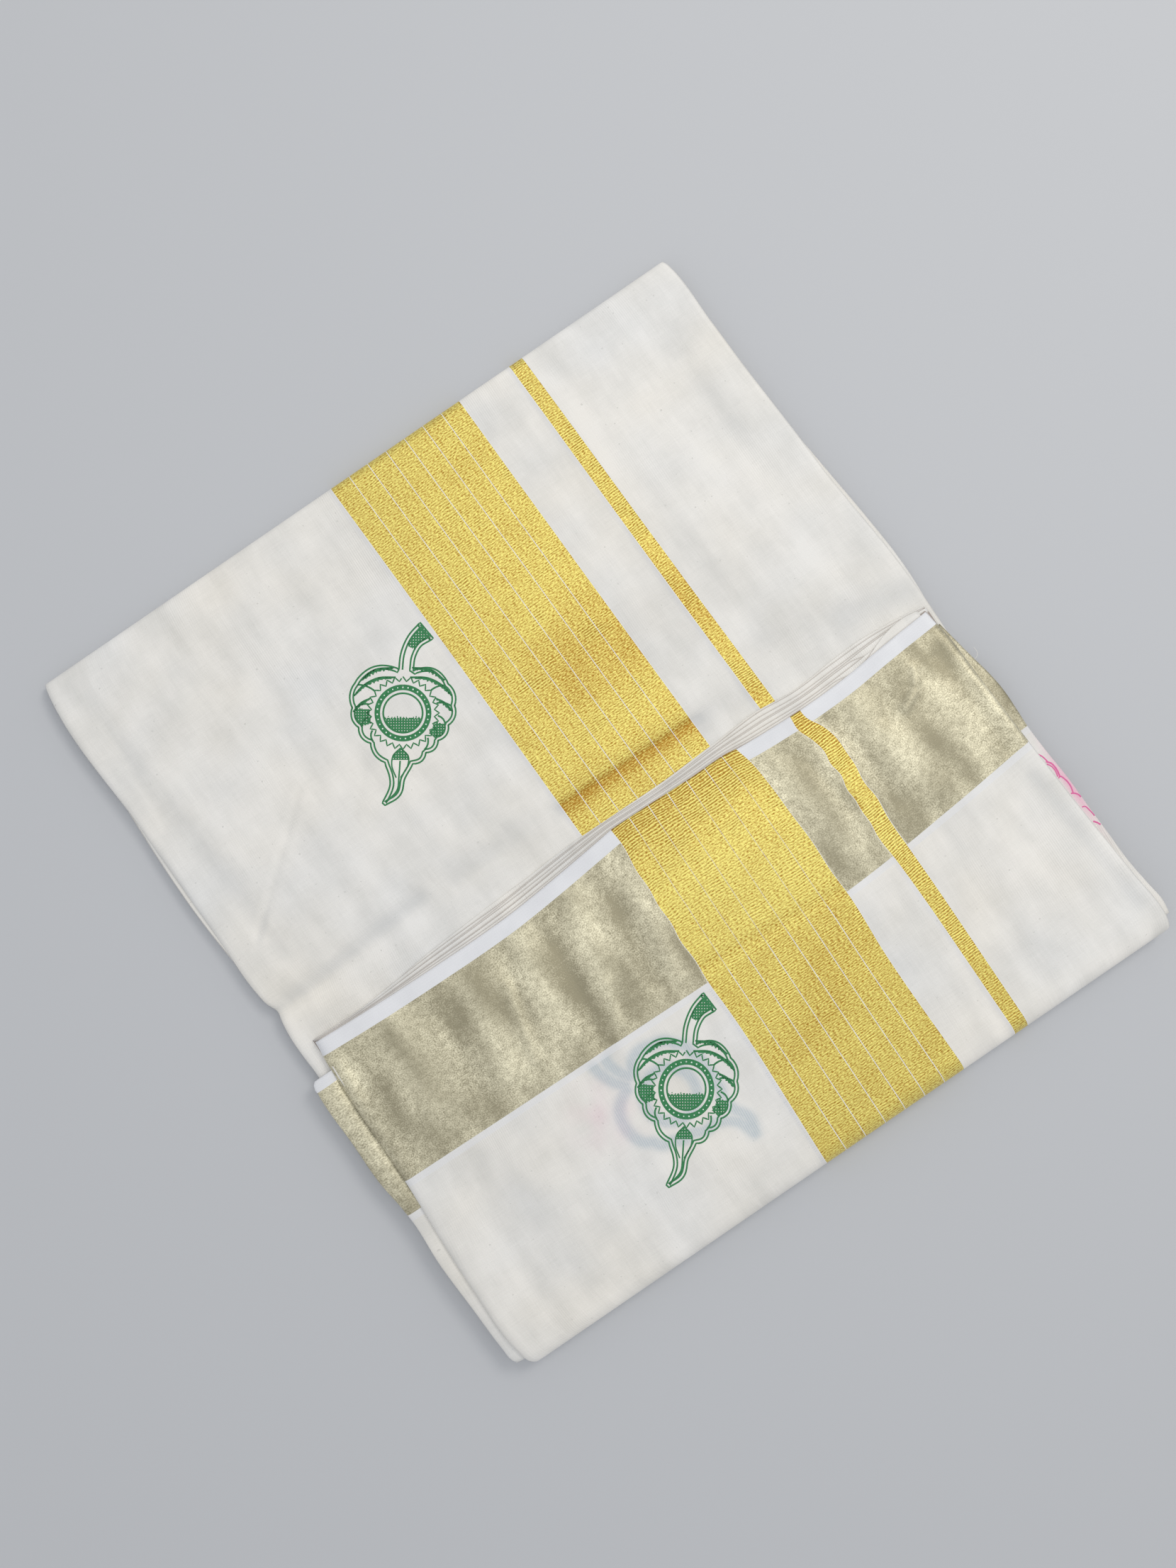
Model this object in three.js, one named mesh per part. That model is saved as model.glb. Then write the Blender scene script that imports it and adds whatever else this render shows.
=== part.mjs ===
// A cotton saree with gold thread bands, folded flat into a nearly square packet.
//
// The cloth is 6.2 m by 1.22 m. Its length is folded to a sixteenth, its width is folded in half
// at the top fold, and then the lower third is turned up over the front, so that the selvedges
// lie along the crease across the middle.
//
// Millimetres. +X runs along the length of the cloth, +Y points to the top fold, +Z is up.
// The origin is the middle of the flat underside.
import * as THREE from "three";

// Driving sizes
const WALL = 1; // cloth wall
const GAP = 0.3; // between pieces that touch
const HALF_HEIGHT = 210.5; // from the middle to the top fold and to the bottom fold
const UPPER_THICK = 8; // the folded stack where it lies once
const FLAP_THICK = 16; // the stack with the flap turned up over it
const TOP_FOLD_REACH = 4.5; // how far the top fold's round reaches in from its edge
const BOTTOM_FOLD_REACH = 9.5; // the same at the thicker bottom fold
const WRAP_UNDER = 5; // how far a face runs on under the packet past its fold
const FACE_COLUMNS = 18; // columns of points across a face

// Where the pieces meet near the crease
const UPPER_FACE_END = -24; // the upper face stops here, under the flap
const CREASE_PLY_BACK = -27; // the staggered plies reach back to here
const CREASE_PLIES = 5;
const SEAM = WALL + GAP; // from one ply's outer face to the next ply's
const CREASE_PLY_LIFT = 0.4; // from the upper panel's face to the lowest staggered ply

// Outlines of the faces: x at each y
const UPPER_LEFT = [
  { y: 210.5, x: -201.8 },
  { y: 207, x: -202.4 },
  { y: 120, x: -202 },
  { y: 24, x: -201.2 },
  { y: 8, x: -197.8 },
  { y: -5, x: -199.4 },
  { y: -24, x: -199.2 },
];
const UPPER_RIGHT = [
  { y: 210.5, x: 176.2 },
  { y: 205, x: 177.6 },
  { y: 171, x: 179.3 },
  { y: 120, x: 181.5 },
  { y: 73, x: 184 },
  { y: 24, x: 188.4 },
  { y: -24, x: 189 },
];
const FLAP_LEFT = [
  { y: -15, x: -190 },
  { y: -98, x: -190.8 },
  { y: -161, x: -193.4 },
  { y: -200, x: -192 },
  { y: -210.5, x: -189 },
];
const FLAP_RIGHT = [
  { y: -10, x: 185 },
  { y: -92, x: 189 },
  { y: -175, x: 194.6 },
  { y: -204, x: 197 },
  { y: -210.5, x: 196 },
];
// The stack under the faces, which the underside follows too
const BASE_LEFT = [
  { y: 210.5, x: -201.8 },
  { y: 24, x: -200.8 },
  { y: 8, x: -198 },
  { y: -60, x: -199 },
  { y: -200, x: -195.5 },
  { y: -210.5, x: -190 },
];
const BASE_RIGHT = [
  { y: 210.5, x: 176.2 },
  { y: 120, x: 181.2 },
  { y: 24, x: 188 },
  { y: -92, x: 189 },
  { y: -200, x: 197 },
  { y: -210.5, x: 195.5 },
];
// Edges of the plies that stand out at the sides
const LEFT_PLY_EDGE = [
  { y: -31.5, x: -200.4 },
  { y: -36, x: -202.6 },
  { y: -92, x: -202.3 },
  { y: -117, x: -199.6 },
  { y: -142, x: -200.3 },
  { y: -186, x: -198.8 },
  { y: -200, x: -197 },
];
const RIGHT_PLY_EDGE = [
  { y: -27.5, x: 188.8 },
  { y: -34, x: 190.2 },
  { y: -53, x: 193.6 },
  { y: -66, x: 195.1 },
  { y: -87, x: 194.8 },
  { y: -114, x: 196.4 },
  { y: -152, x: 197.6 },
  { y: -180, x: 200.6 },
  { y: -196, x: 202.8 },
  { y: -200, x: 202 },
];
// Selvedge of the flap and the line of the staggered ply that reaches furthest: y at each x
const FLAP_SELVEDGE = [
  { x: -190, y: -15.4 },
  { x: -123, y: -17.8 },
  { x: -72, y: -17.4 },
  { x: -18, y: -12.5 },
  { x: 68, y: -13 },
  { x: 104, y: -15.6 },
  { x: 134, y: -14.6 },
  { x: 185, y: -10.4 },
];
const FURTHEST_PLY = [
  { x: -190, y: -14 },
  { x: -160, y: -14.6 },
  { x: -120, y: -11 },
  { x: -23, y: -5.6 },
  { x: 22, y: -7 },
  { x: 86, y: -3 },
  { x: 107, y: -6 },
  { x: 156, y: -4.2 },
  { x: 186, y: -8 },
];

// Soft troughs (height below 0) and ridges in the two faces, from one end to the other
const UPPER_FORMS = [
  { x1: -198, y1: 7, x2: -140, y2: 4, width: 9, height: -1.1 },
  { x1: -140, y1: 4, x2: -84, y2: -10, width: 9, height: -0.7 },
  { x1: -30, y1: 14, x2: 66, y2: 11, width: 8, height: -0.8 },
  { x1: -40, y1: 32, x2: 80, y2: 27, width: 11, height: 0.5 },
  { x1: 110, y1: 20, x2: 180, y2: 4, width: 12, height: -0.6 },
  { x1: -176, y1: 172, x2: -180, y2: 90, width: 16, height: 0.4 },
];
const FLAP_FORMS = [
  { x1: -172, y1: -40, x2: -176, y2: -88, width: 16, height: -0.7 },
  { x1: -96, y1: -38, x2: -103, y2: -90, width: 17, height: 0.6 },
  { x1: -52, y1: -40, x2: -60, y2: -96, width: 16, height: -0.6 },
  { x1: 82, y1: -40, x2: 90, y2: -92, width: 17, height: 0.5 },
  { x1: 158, y1: -38, x2: 140, y2: -60, width: 16, height: 0.7 },
  { x1: -120, y1: -150, x2: 10, y2: -180, width: 18, height: 0.5 },
];

// Reads a table: the value of one column where another has a given value
function read(rows, from, to, at) {
  const rising = rows[0][from] < rows[rows.length - 1][from];
  const sorted = rising ? rows : [...rows].reverse();
  if (at <= sorted[0][from]) return sorted[0][to];
  for (let k = 1; k < sorted.length; k++) {
    const a = sorted[k - 1];
    const b = sorted[k];
    if (at <= b[from]) {
      return THREE.MathUtils.mapLinear(at, a[from], b[from], a[to], b[to]);
    }
  }
  return sorted[sorted.length - 1][to];
}

const xAt = (rows, y) => read(rows, "y", "x", y);
const yAt = (rows, x) => read(rows, "x", "y", x);

// Height of the troughs and ridges at a point, each fading out past its ends
function formsAt(forms, x, y) {
  let height = 0;
  for (const form of forms) {
    const run = new THREE.Vector2(form.x2 - form.x1, form.y2 - form.y1);
    const from = new THREE.Vector2(x - form.x1, y - form.y1);
    const t = THREE.MathUtils.clamp(from.dot(run) / run.lengthSq(), 0, 1);
    const distance = from.addScaledVector(run, -t).length();
    height += form.height * Math.exp(-((distance / form.width) ** 2));
  }
  return height;
}

// The faces level out at the folds, where the stack is pressed, and the flap at its selvedge
const FADE_IN = 12;
const clearOf = (edge, at) => THREE.MathUtils.smoothstep((at - edge) * -Math.sign(edge), 0, FADE_IN);
const TOP_BEND = HALF_HEIGHT - TOP_FOLD_REACH;
const BOTTOM_BEND = BOTTOM_FOLD_REACH - HALF_HEIGHT;

// Outer height of the upper face and of the flap
const upperTop = (x, y) => UPPER_THICK + formsAt(UPPER_FORMS, x, y) * clearOf(TOP_BEND, y);
const flapTop = (x, y) => {
  const fade = clearOf(BOTTOM_BEND, y) * THREE.MathUtils.smoothstep(CREASE_PLY_BACK - y, 0, FADE_IN);
  return FLAP_THICK + formsAt(FLAP_FORMS, x, y) * fade;
};

const spread = (from, to, count) =>
  Array.from({ length: count + 1 }, (_, k) => from + ((to - from) * k) / count);

// Faces turned the right way round and wrapped in a mesh
function solidMesh(name, points, triangles, material) {
  let volume = 0;
  for (const [a, b, c] of triangles) {
    volume += points[a].dot(points[b].clone().cross(points[c]));
  }
  const turned = volume > 0 ? triangles : triangles.map(([a, b, c]) => [a, c, b]);
  const geometry = new THREE.BufferGeometry().setFromPoints(points);
  geometry.setIndex(turned.flat());
  geometry.computeVertexNormals();
  const mesh = new THREE.Mesh(geometry, material);
  mesh.name = name;
  return mesh;
}

// A cloth wall: a grid of points on its outer face, and the same grid a wall's thickness behind
function clothWall(name, outer, material, thickness = WALL) {
  const rows = outer.length;
  const columns = outer[0].length;
  const inner = outer.map((row, j) =>
    row.map((point, i) => {
      const acrossFrom = row[Math.max(i - 1, 0)];
      const across = row[Math.min(i + 1, columns - 1)].clone().sub(acrossFrom);
      const alongFrom = outer[Math.max(j - 1, 0)][i];
      const along = outer[Math.min(j + 1, rows - 1)][i].clone().sub(alongFrom);
      return point.clone().addScaledVector(along.cross(across).normalize(), -thickness);
    }),
  );
  const points = [...outer.flat(), ...inner.flat()];
  const behind = rows * columns;
  const at = (j, i) => j * columns + i;
  const triangles = [];
  const quad = (a, b, c, d) => triangles.push([a, b, c], [a, c, d]);
  for (let j = 0; j + 1 < rows; j++) {
    for (let i = 0; i + 1 < columns; i++) {
      const [a, b, c, d] = [at(j, i), at(j + 1, i), at(j + 1, i + 1), at(j, i + 1)];
      quad(a, b, c, d);
      quad(d + behind, c + behind, b + behind, a + behind);
    }
  }
  const rim = [
    ...spread(0, rows - 2, rows - 2).map((j) => [at(j + 1, 0), at(j, 0)]),
    ...spread(0, rows - 2, rows - 2).map((j) => [at(j, columns - 1), at(j + 1, columns - 1)]),
    ...spread(0, columns - 2, columns - 2).map((i) => [at(0, i), at(0, i + 1)]),
    ...spread(0, columns - 2, columns - 2).map((i) => [at(rows - 1, i + 1), at(rows - 1, i)]),
  ];
  for (const [a, b] of rim) quad(a, b, b + behind, a + behind);
  return solidMesh(name, points, triangles, material);
}

// A solid through closed rings of points, with a point in the middle of each end
function ringSolid(name, rings, material) {
  const count = rings[0].length;
  const middle = (ring) =>
    ring.reduce((sum, point) => sum.add(point), new THREE.Vector3()).divideScalar(count);
  const points = [...rings.flat(), middle(rings[0]), middle(rings[rings.length - 1])];
  const first = points.length - 2;
  const last = points.length - 1;
  const triangles = [];
  for (let i = 0; i < count; i++) {
    const next = (i + 1) % count;
    for (let j = 0; j + 1 < rings.length; j++) {
      const a = j * count;
      const b = a + count;
      triangles.push([a + i, a + next, b + next], [a + i, b + next, b + i]);
    }
    const end = (rings.length - 1) * count;
    triangles.push([first, next, i], [last, end + i, end + next]);
  }
  return solidMesh(name, points, triangles, material);
}

// Columns across a face, with a round turn of the given radius at each side. Each gives its place
// between the sides, how far it stands in from the side, and how far it has turned down there.
const TURN_STEPS = [90, 60, 30];
function faceColumns(leftRadius, rightRadius) {
  const turn = (radius, side, degrees) => {
    const angle = THREE.MathUtils.degToRad(degrees);
    return { side, inset: radius * (1 - Math.sin(angle)), drop: radius * (1 - Math.cos(angle)) };
  };
  return [
    ...TURN_STEPS.map((degrees) => turn(leftRadius, 0, degrees)),
    ...spread(0, 1, FACE_COLUMNS).map((side) => ({
      side,
      inset: THREE.MathUtils.lerp(leftRadius, -rightRadius, side),
      drop: 0,
    })),
    ...[...TURN_STEPS].reverse().map((degrees) => {
      const { inset, drop } = turn(rightRadius, 1, degrees);
      return { side: 1, inset: -inset, drop };
    }),
  ];
}

// The way round a fold, from one flat side to the other: y and z on the outer face, and turned,
// which goes from -1 on the underside to 1 on the top
function foldArc(edge, reach, thick, steps) {
  const inward = -Math.sign(edge);
  return spread(-90, 90, steps).map((degrees) => {
    const angle = THREE.MathUtils.degToRad(degrees);
    return {
      y: edge + inward * reach * (1 - Math.cos(angle)),
      z: (thick / 2) * (1 + Math.sin(angle)),
      turned: Math.sin(angle),
    };
  });
}

// Outline of a face at a station: its own on the top, the stack's on the underside
function sidesAt(outline, y, turned) {
  const down = (1 - turned) / 2;
  const { lerp } = THREE.MathUtils;
  return {
    left: lerp(xAt(outline.left, y), xAt(BASE_LEFT, y), down),
    right: lerp(xAt(outline.right, y), xAt(BASE_RIGHT, y), down),
  };
}

function facePoints(stations, columns, outline, top) {
  return stations.map((station) =>
    columns.map((column) => {
      const { left, right } = sidesAt(outline, station.y, station.turned);
      const x = THREE.MathUtils.lerp(left, right, column.side) + column.inset;
      const y = station.y;
      const z = station.z ?? top(x, y);
      return new THREE.Vector3(x, y, z - column.drop * station.turned);
    }),
  );
}

// Stops down the upper panel and down the flap, closer together near the crease
const UPPER_STOPS = [190, 168, 142, 116, 92, 70, 52, 39, 29, 21, 13, 5, -4, -14];
const FLAP_STOPS = [-22, -30, -40, -52, -66, -82, -98, -116, -136, -156, -176, -190];

const UPPER = { left: UPPER_LEFT, right: UPPER_RIGHT };
const FLAP = { left: FLAP_LEFT, right: FLAP_RIGHT };

const cream = new THREE.MeshStandardMaterial({ color: 0xe8e5dc, roughness: 0.9, metalness: 0 });
const creamShade = new THREE.MeshStandardMaterial({ color: 0xdad8d2, roughness: 0.9, metalness: 0 });
const tissue = new THREE.MeshStandardMaterial({ color: 0xb9b48e, roughness: 0.5, metalness: 0.3 });

// Outer ply: underside, top fold and upper panel
function upperFace() {
  const stations = [
    { y: TOP_BEND - WRAP_UNDER, z: 0, turned: -1 },
    ...foldArc(HALF_HEIGHT, TOP_FOLD_REACH, UPPER_THICK, 8),
    ...[...UPPER_STOPS, UPPER_FACE_END].map((y) => ({ y, turned: 1 })),
  ];
  const columns = faceColumns(2, 1.4);
  const outer = facePoints(stations, columns, UPPER, upperTop);
  return clothWall("upper_face", outer, cream);
}

// Outer ply: flap from its selvedge down, bottom fold and underside
function flapFace() {
  const stations = [
    ...[0, ...FLAP_STOPS].map((y) => ({ y, turned: 1 })),
    ...foldArc(-HALF_HEIGHT, BOTTOM_FOLD_REACH, FLAP_THICK, 9).reverse(),
    { y: BOTTOM_BEND + WRAP_UNDER, z: 0, turned: -1 },
  ];
  const columns = faceColumns(2.4, 1.4);
  const outer = facePoints(stations, columns, FLAP, flapTop);
  // The first row follows the selvedge, which isn't straight
  for (const point of outer[0]) point.y = yAt(FLAP_SELVEDGE, point.x);
  return clothWall("flap_face", outer, cream);
}

// Outer ply: the flat underside between the two folds, with its sides turned up a little
function undersideSheet() {
  const top = TOP_BEND - WRAP_UNDER - GAP;
  const bottom = BOTTOM_BEND + WRAP_UNDER + GAP;
  const stations = [bottom, -150, -92, -60, -10, 8, 24, 60, 120, top].map((y) => ({
    y,
    z: 0,
    turned: -1,
  }));
  const columns = faceColumns(1.6, 1.4).filter(({ side }) => (side * FACE_COLUMNS) % 3 === 0);
  const outer = facePoints(stations, columns, UPPER);
  return clothWall("underside_sheet", outer, creamShade);
}

// Hidden plies. The stack is followed from the crease down the flap, round the bottom fold and up
// to the top fold. Each stop has a point on the side of the stack that faces out and one on the
// side that faces in, and the sides of the stack are rounded into rolls.
const ROLLS = 4;
const ROLL_BULGE = 1;
const ROLL_STEPS = 3; // points on each roll
const SIDE_INSET = 3.4; // the rolls' roots, in from the outline
const SLIT = 0.3; // between the flap's plies and those under them
const STACK_SEAM = WALL + 0.5; // from an outer face to the hidden plies behind it
const MIDDLE = UPPER_THICK - SLIT / 2;
const UNDER_FLAP_STOPS = [-189, -145, -92, -60];
function innerPlies() {
  const under = SEAM;
  const stops = [];
  for (const y of [CREASE_PLY_BACK - GAP, ...FLAP_STOPS.slice(2), BOTTOM_BEND]) {
    stops.push({
      ...sidesAt(FLAP, y, 1),
      outer: (x) => [y, flapTop(x, y) - STACK_SEAM],
      inner: () => [y, MIDDLE + SLIT / 2],
    });
  }
  for (const degrees of spread(72, -90, 9)) {
    const angle = THREE.MathUtils.degToRad(degrees);
    const reach = Math.cos(angle) * (BOTTOM_FOLD_REACH - STACK_SEAM);
    const half = degrees > 0 ? FLAP_THICK - STACK_SEAM - MIDDLE : MIDDLE - under;
    const y = BOTTOM_BEND - reach;
    stops.push({
      ...sidesAt(FLAP, y, Math.sin(angle)),
      outer: () => [y, MIDDLE + half * Math.sin(angle)],
      inner: () => [
        BOTTOM_BEND - (SLIT / 2) * Math.cos(angle),
        MIDDLE + (SLIT / 2) * Math.sin(angle),
      ],
    });
  }
  for (const y of [...UNDER_FLAP_STOPS, UPPER_FACE_END - GAP]) {
    stops.push({
      ...sidesAt(FLAP, y, -1),
      outer: () => [y, under],
      inner: () => [y, MIDDLE - SLIT / 2],
    });
  }
  for (const y of [UPPER_FACE_END, ...[...UPPER_STOPS].reverse()]) {
    stops.push({
      ...sidesAt(UPPER, y, -1),
      outer: () => [y, under],
      inner: (x) => [y, upperTop(x, y) - STACK_SEAM],
    });
  }
  const half = UPPER_THICK / 2 - STACK_SEAM;
  for (const degrees of [0, 30, 60, 78]) {
    const angle = THREE.MathUtils.degToRad(degrees);
    const y = TOP_BEND + (TOP_FOLD_REACH - STACK_SEAM) * Math.sin(angle);
    stops.push({
      ...sidesAt(UPPER, y, -1),
      outer: () => [y, UPPER_THICK / 2 - half * Math.cos(angle)],
      inner: () => [y, UPPER_THICK / 2 + half * Math.cos(angle)],
    });
  }
  const sides = spread(0, 1, ROLLS * ROLL_STEPS).map((t) => {
    const inRoll = (t * ROLLS) % 1;
    return { t, bulge: ROLL_BULGE * Math.sqrt(1 - (2 * inRoll - 1) ** 2) };
  });
  const point = (stop, x, t) => {
    const [outerY, outerZ] = stop.outer(x);
    const [innerY, innerZ] = stop.inner(x);
    const { lerp } = THREE.MathUtils;
    return new THREE.Vector3(x, lerp(outerY, innerY, t), lerp(outerZ, innerZ, t));
  };
  const rings = stops.map((stop) => {
    const left = stop.left + SIDE_INSET;
    const right = stop.right - SIDE_INSET;
    const across = spread(left, right, FACE_COLUMNS).slice(1, -1);
    return [
      ...across.map((x) => point(stop, x, 0)),
      ...sides.map(({ t, bulge }) => point(stop, right + bulge, t)),
      ...[...across].reverse().map((x) => point(stop, x, 1)),
      ...[...sides].reverse().map(({ t, bulge }) => point(stop, left - bulge, t)),
    ];
  });
  return ringSolid("inner_plies", rings, creamShade);
}

// Staggered selvedges between the flap and the upper panel, the lowest reaching furthest
const PLY_WAVE = 0.5; // how far a ply's edge wanders from an even spacing
function creasePly(number) {
  const share = (CREASE_PLIES + 1 - number) / (CREASE_PLIES + 1);
  const left = -188.6 + 0.5 * number;
  const right = 187.2 - 2.2 * number;
  const lift = CREASE_PLY_LIFT + (number - 1) * SEAM;
  const columns = spread(left, right, FACE_COLUMNS);
  const front = (x) =>
    THREE.MathUtils.lerp(yAt(FLAP_SELVEDGE, x), yAt(FURTHEST_PLY, x), share) +
    PLY_WAVE * Math.sin(x / (17 + 3 * number) + 2 * number) * share;
  const outer = [0, 0.5, 1].map((back) =>
    columns.map((x) => {
      const y = THREE.MathUtils.lerp(front(x), CREASE_PLY_BACK, back);
      return new THREE.Vector3(x, y, upperTop(x, y) + lift + WALL);
    }),
  );
  return clothWall(`crease_ply_${number}`, outer, cream);
}

// A ply that stands out at a side: a flattened roll, round along its outer edge
function sidePly(name, edge, sign, rootX, heights, material) {
  const { low, high } = heights;
  const radius = (high - low) / 2;
  const round = spread(-90, 90, 6).map((degrees) => THREE.MathUtils.degToRad(degrees));
  const from = edge[0].y;
  const to = edge[edge.length - 1].y;
  const rings = spread(from, to, 28).map((y) => {
    const tip = xAt(edge, y) - sign * radius;
    const root = xAt(rootX, y) - sign * (SIDE_INSET - ROLL_BULGE - GAP);
    return [
      new THREE.Vector3(root, y, high),
      new THREE.Vector3(root, y, low),
      ...round.map(
        (angle) =>
          new THREE.Vector3(
            tip + sign * radius * Math.cos(angle),
            y,
            (low + high) / 2 + radius * Math.sin(angle),
          ),
      ),
    ];
  });
  return ringSolid(name, rings, material);
}

// The thin ply that peeks out under the upper panel's right side
const PEEK = 3;
function upperRightPly() {
  const rows = spread(104, -8, 14);
  const outer = rows.map((y) => {
    const shown = PEEK * Math.sin((Math.PI * (104 - y)) / 112) ** 0.5;
    const root = xAt(BASE_RIGHT, y) - SIDE_INSET + ROLL_BULGE + GAP;
    const tip = xAt(UPPER_RIGHT, y) + shown;
    return spread(root, tip, 3).map((x) => new THREE.Vector3(x, y, 5.2));
  });
  return clothWall("upper_right_ply", outer, cream);
}

const saree = new THREE.Group();
saree.add(undersideSheet(), innerPlies(), upperFace(), flapFace());
for (let number = 1; number <= CREASE_PLIES; number++) saree.add(creasePly(number));
saree.add(
  sidePly("left_ply", LEFT_PLY_EDGE, -1, FLAP_LEFT, { low: 8.4, high: 11.4 }, tissue),
  sidePly("right_ply", RIGHT_PLY_EDGE, 1, FLAP_RIGHT, { low: 8.4, high: 10.4 }, tissue),
  upperRightPly(),
);

export default saree;
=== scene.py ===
"""A cream cotton saree with gold thread bands, folded flat into a nearly square packet.

The outer ply is drawn as the fine cloth it is, in three stretches: the flap, the upper panel and the
underside. Its grid follows the cloth's own threads, so that its UV map holds the place on the cloth
in metres: u along the length, from the wide gold band's left edge, and v across the width, from the
selvedge. Sizes below are in millimetres, in the packet's frame, and meshes are made in metres.
"""

import math
from types import SimpleNamespace

import bmesh
import bpy
import numpy as np
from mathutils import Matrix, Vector


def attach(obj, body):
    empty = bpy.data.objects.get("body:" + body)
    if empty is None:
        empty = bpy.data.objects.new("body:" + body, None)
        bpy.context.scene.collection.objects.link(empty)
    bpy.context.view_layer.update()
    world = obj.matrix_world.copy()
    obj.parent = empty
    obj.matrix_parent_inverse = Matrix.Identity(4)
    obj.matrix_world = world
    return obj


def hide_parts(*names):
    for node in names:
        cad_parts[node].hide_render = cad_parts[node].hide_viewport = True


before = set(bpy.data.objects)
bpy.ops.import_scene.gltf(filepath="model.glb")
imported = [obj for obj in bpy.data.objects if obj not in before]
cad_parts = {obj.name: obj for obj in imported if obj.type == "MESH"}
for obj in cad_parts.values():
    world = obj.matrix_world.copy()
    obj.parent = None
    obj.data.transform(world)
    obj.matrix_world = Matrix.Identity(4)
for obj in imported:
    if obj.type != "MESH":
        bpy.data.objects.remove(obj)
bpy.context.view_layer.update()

MM = 0.001

# ------------------------------------------------------------------ sizes of the packet
HALF_HEIGHT = 210.5  # from the middle to the top fold and to the bottom fold
UPPER_TOP = 8.0  # height of the upper panel
FLAP_TOP = 16.0  # height of the flap
TOP_REACH = 4.5  # how far the top fold's round reaches in from its edge
BOTTOM_REACH = 9.5
TOP_BEND = HALF_HEIGHT - TOP_REACH
BOTTOM_BEND = BOTTOM_REACH - HALF_HEIGHT
SHEET = 0.45  # thickness of a sheet as drawn: the ply with its nap
TUCK = 6.0  # how far the flap and the upper panel run on under the packet
SEAM = 0.3  # from there to the underside

# Places across the cloth's length, from the wide band's left edge
WIDE = 79.0  # the wide gold band
SUB_BANDS = 7  # thin white lines part the wide band into these
NARROW_FROM, NARROW_TO = 109.6, 118.0  # the narrow gold band
UPPER_U = (-176.0, 206.0)  # where the upper panel's sides lie on the cloth
FLAP_U = (-181.0, 196.0)
UNDER_U = (-181.0, 204.0)

# Along the packet
UPPER_END_Y = -42.0  # where the upper panel ends under the flap
UNDER_Y = (BOTTOM_BEND + TUCK + SEAM, TOP_BEND - TUCK - SEAM)

# Places across the cloth's width, from the selvedge
SELVEDGE = 8.0  # plain strip
BORDER = 84.0  # end of the pale tissue border
FLAP_BEND_V = 188.0  # where the flap starts to turn under
UNDER_V = FLAP_BEND_V + 30  # where the underside starts
TOP_V = 615.0  # the cloth's middle, at the top fold
PITCH = 1.6  # of the fine grids
COARSE_PITCH = 4.5  # of the underside's grid


def curve(*rows):
    """A smooth curve through rows of (place, value), as a function of the place."""
    place, value = np.array(sorted(rows), float).T
    slope = np.gradient(value, place)

    def read(t):
        t = np.clip(t, place[0], place[-1])
        k = np.clip(np.searchsorted(place, t, side="right") - 1, 0, len(place) - 2)
        h = place[k + 1] - place[k]
        s = (t - place[k]) / h
        start = (1 + 2 * s) * (1 - s) ** 2 * value[k] + s * (1 - s) ** 2 * h * slope[k]
        end = s * s * (3 - 2 * s) * value[k + 1] + s * s * (s - 1) * h * slope[k + 1]
        return start + end

    return read


# Outlines, as rows of (y, x)
UPPER_LEFT = curve((210.5, -201.4), (206, -202.3), (120, -202.2), (50, -201.6), (22, -201.2),
                   (14, -200.0), (8, -197.7), (2, -198.6), (-5, -199.6), (-16, -199.8), (-28, -199.2))
UPPER_RIGHT = curve((210.5, 176.4), (205, 177.7), (171, 179.3), (145, 180.2), (120, 181.6),
                    (102, 182.7), (73, 184.1), (46, 186.5), (24, 188.4), (3, 189.3), (-24, 189))
FLAP_LEFT = curve((-12, -189.8), (-24, -190.2), (-98, -190.8), (-161, -193.6), (-200, -192.2),
                  (-207, -190.4), (-210.5, -188))
FLAP_RIGHT = curve((-8, 184.6), (-19, 185.9), (-55, 187.2), (-92, 189), (-140, 192), (-175, 194.8),
                   (-200, 196.8), (-210.5, 195.4))
BASE_LEFT = curve((210.5, -201.4), (24, -200.8), (8, -198), (-60, -199), (-120, -198.4), (-200, -195.5),
                  (-210.5, -189.5))
BASE_RIGHT = curve((210.5, 176.2), (120, 181.2), (24, 188), (-92, 189), (-200, 197), (-210.5, 195))

# Edges of the gold bands on the upper panel and on the flap, as rows of (y, x)
UPPER_BANDS = [curve((210, -26.4), (100, -23.2), (-30, -20.3)), curve((210, 52.1), (100, 55), (-30, 58.7)),
               curve((210, 82.4), (100, 85.6), (-30, 90)), curve((210, 90.5), (100, 94), (-30, 98.8))]
FLAP_BANDS = [
    curve((-12, -7.2), (-20, -6.6), (-36, -8.2), (-46, -8.0), (-56, -9.0), (-66, -8.6), (-76, -9.8),
          (-88, -9.2), (-100, -10), (-116, -9.6), (-207, -12.2)),
    curve((-12, 66.8), (-24, 69.8), (-38, 71), (-56, 71.4), (-71, 72.1), (-90, 71.6), (-104, 72.2),
          (-138, 70.6), (-206, 71.1)),
    curve((-12, 99.6), (-17, 99.0), (-23, 98.4), (-31, 100.8), (-39, 102.2), (-46, 101.2), (-53, 102.3),
          (-61, 100.8), (-67, 101.2), (-74, 100.6), (-81, 101), (-88, 100.2), (-102, 100.9), (-206, 101.7)),
    curve((-12, 104.6), (-20, 105.2), (-28, 109.3), (-36, 111.3), (-45, 111.5), (-53, 111.2), (-63, 110.1),
          (-73, 111), (-82, 110), (-91, 109.9), (-100, 110), (-206, 109.7)),
]

# Where the flap's bands would run without the puckers that their stiff thread pulls into the cloth,
# as rows of (y, x), and how far along the cloth each pucker is felt
FLAP_STRAIGHT = [curve((-12, -7.6), (-207, -12.2)), curve((-12, 71.9), (-206, 71.1)),
                 curve((-12, 101.0), (-206, 101.7)), curve((-12, 110.6), (-206, 109.7))]
PUCKER_REACH = [7.0, 9.0, 4.5, 4.5]

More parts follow.
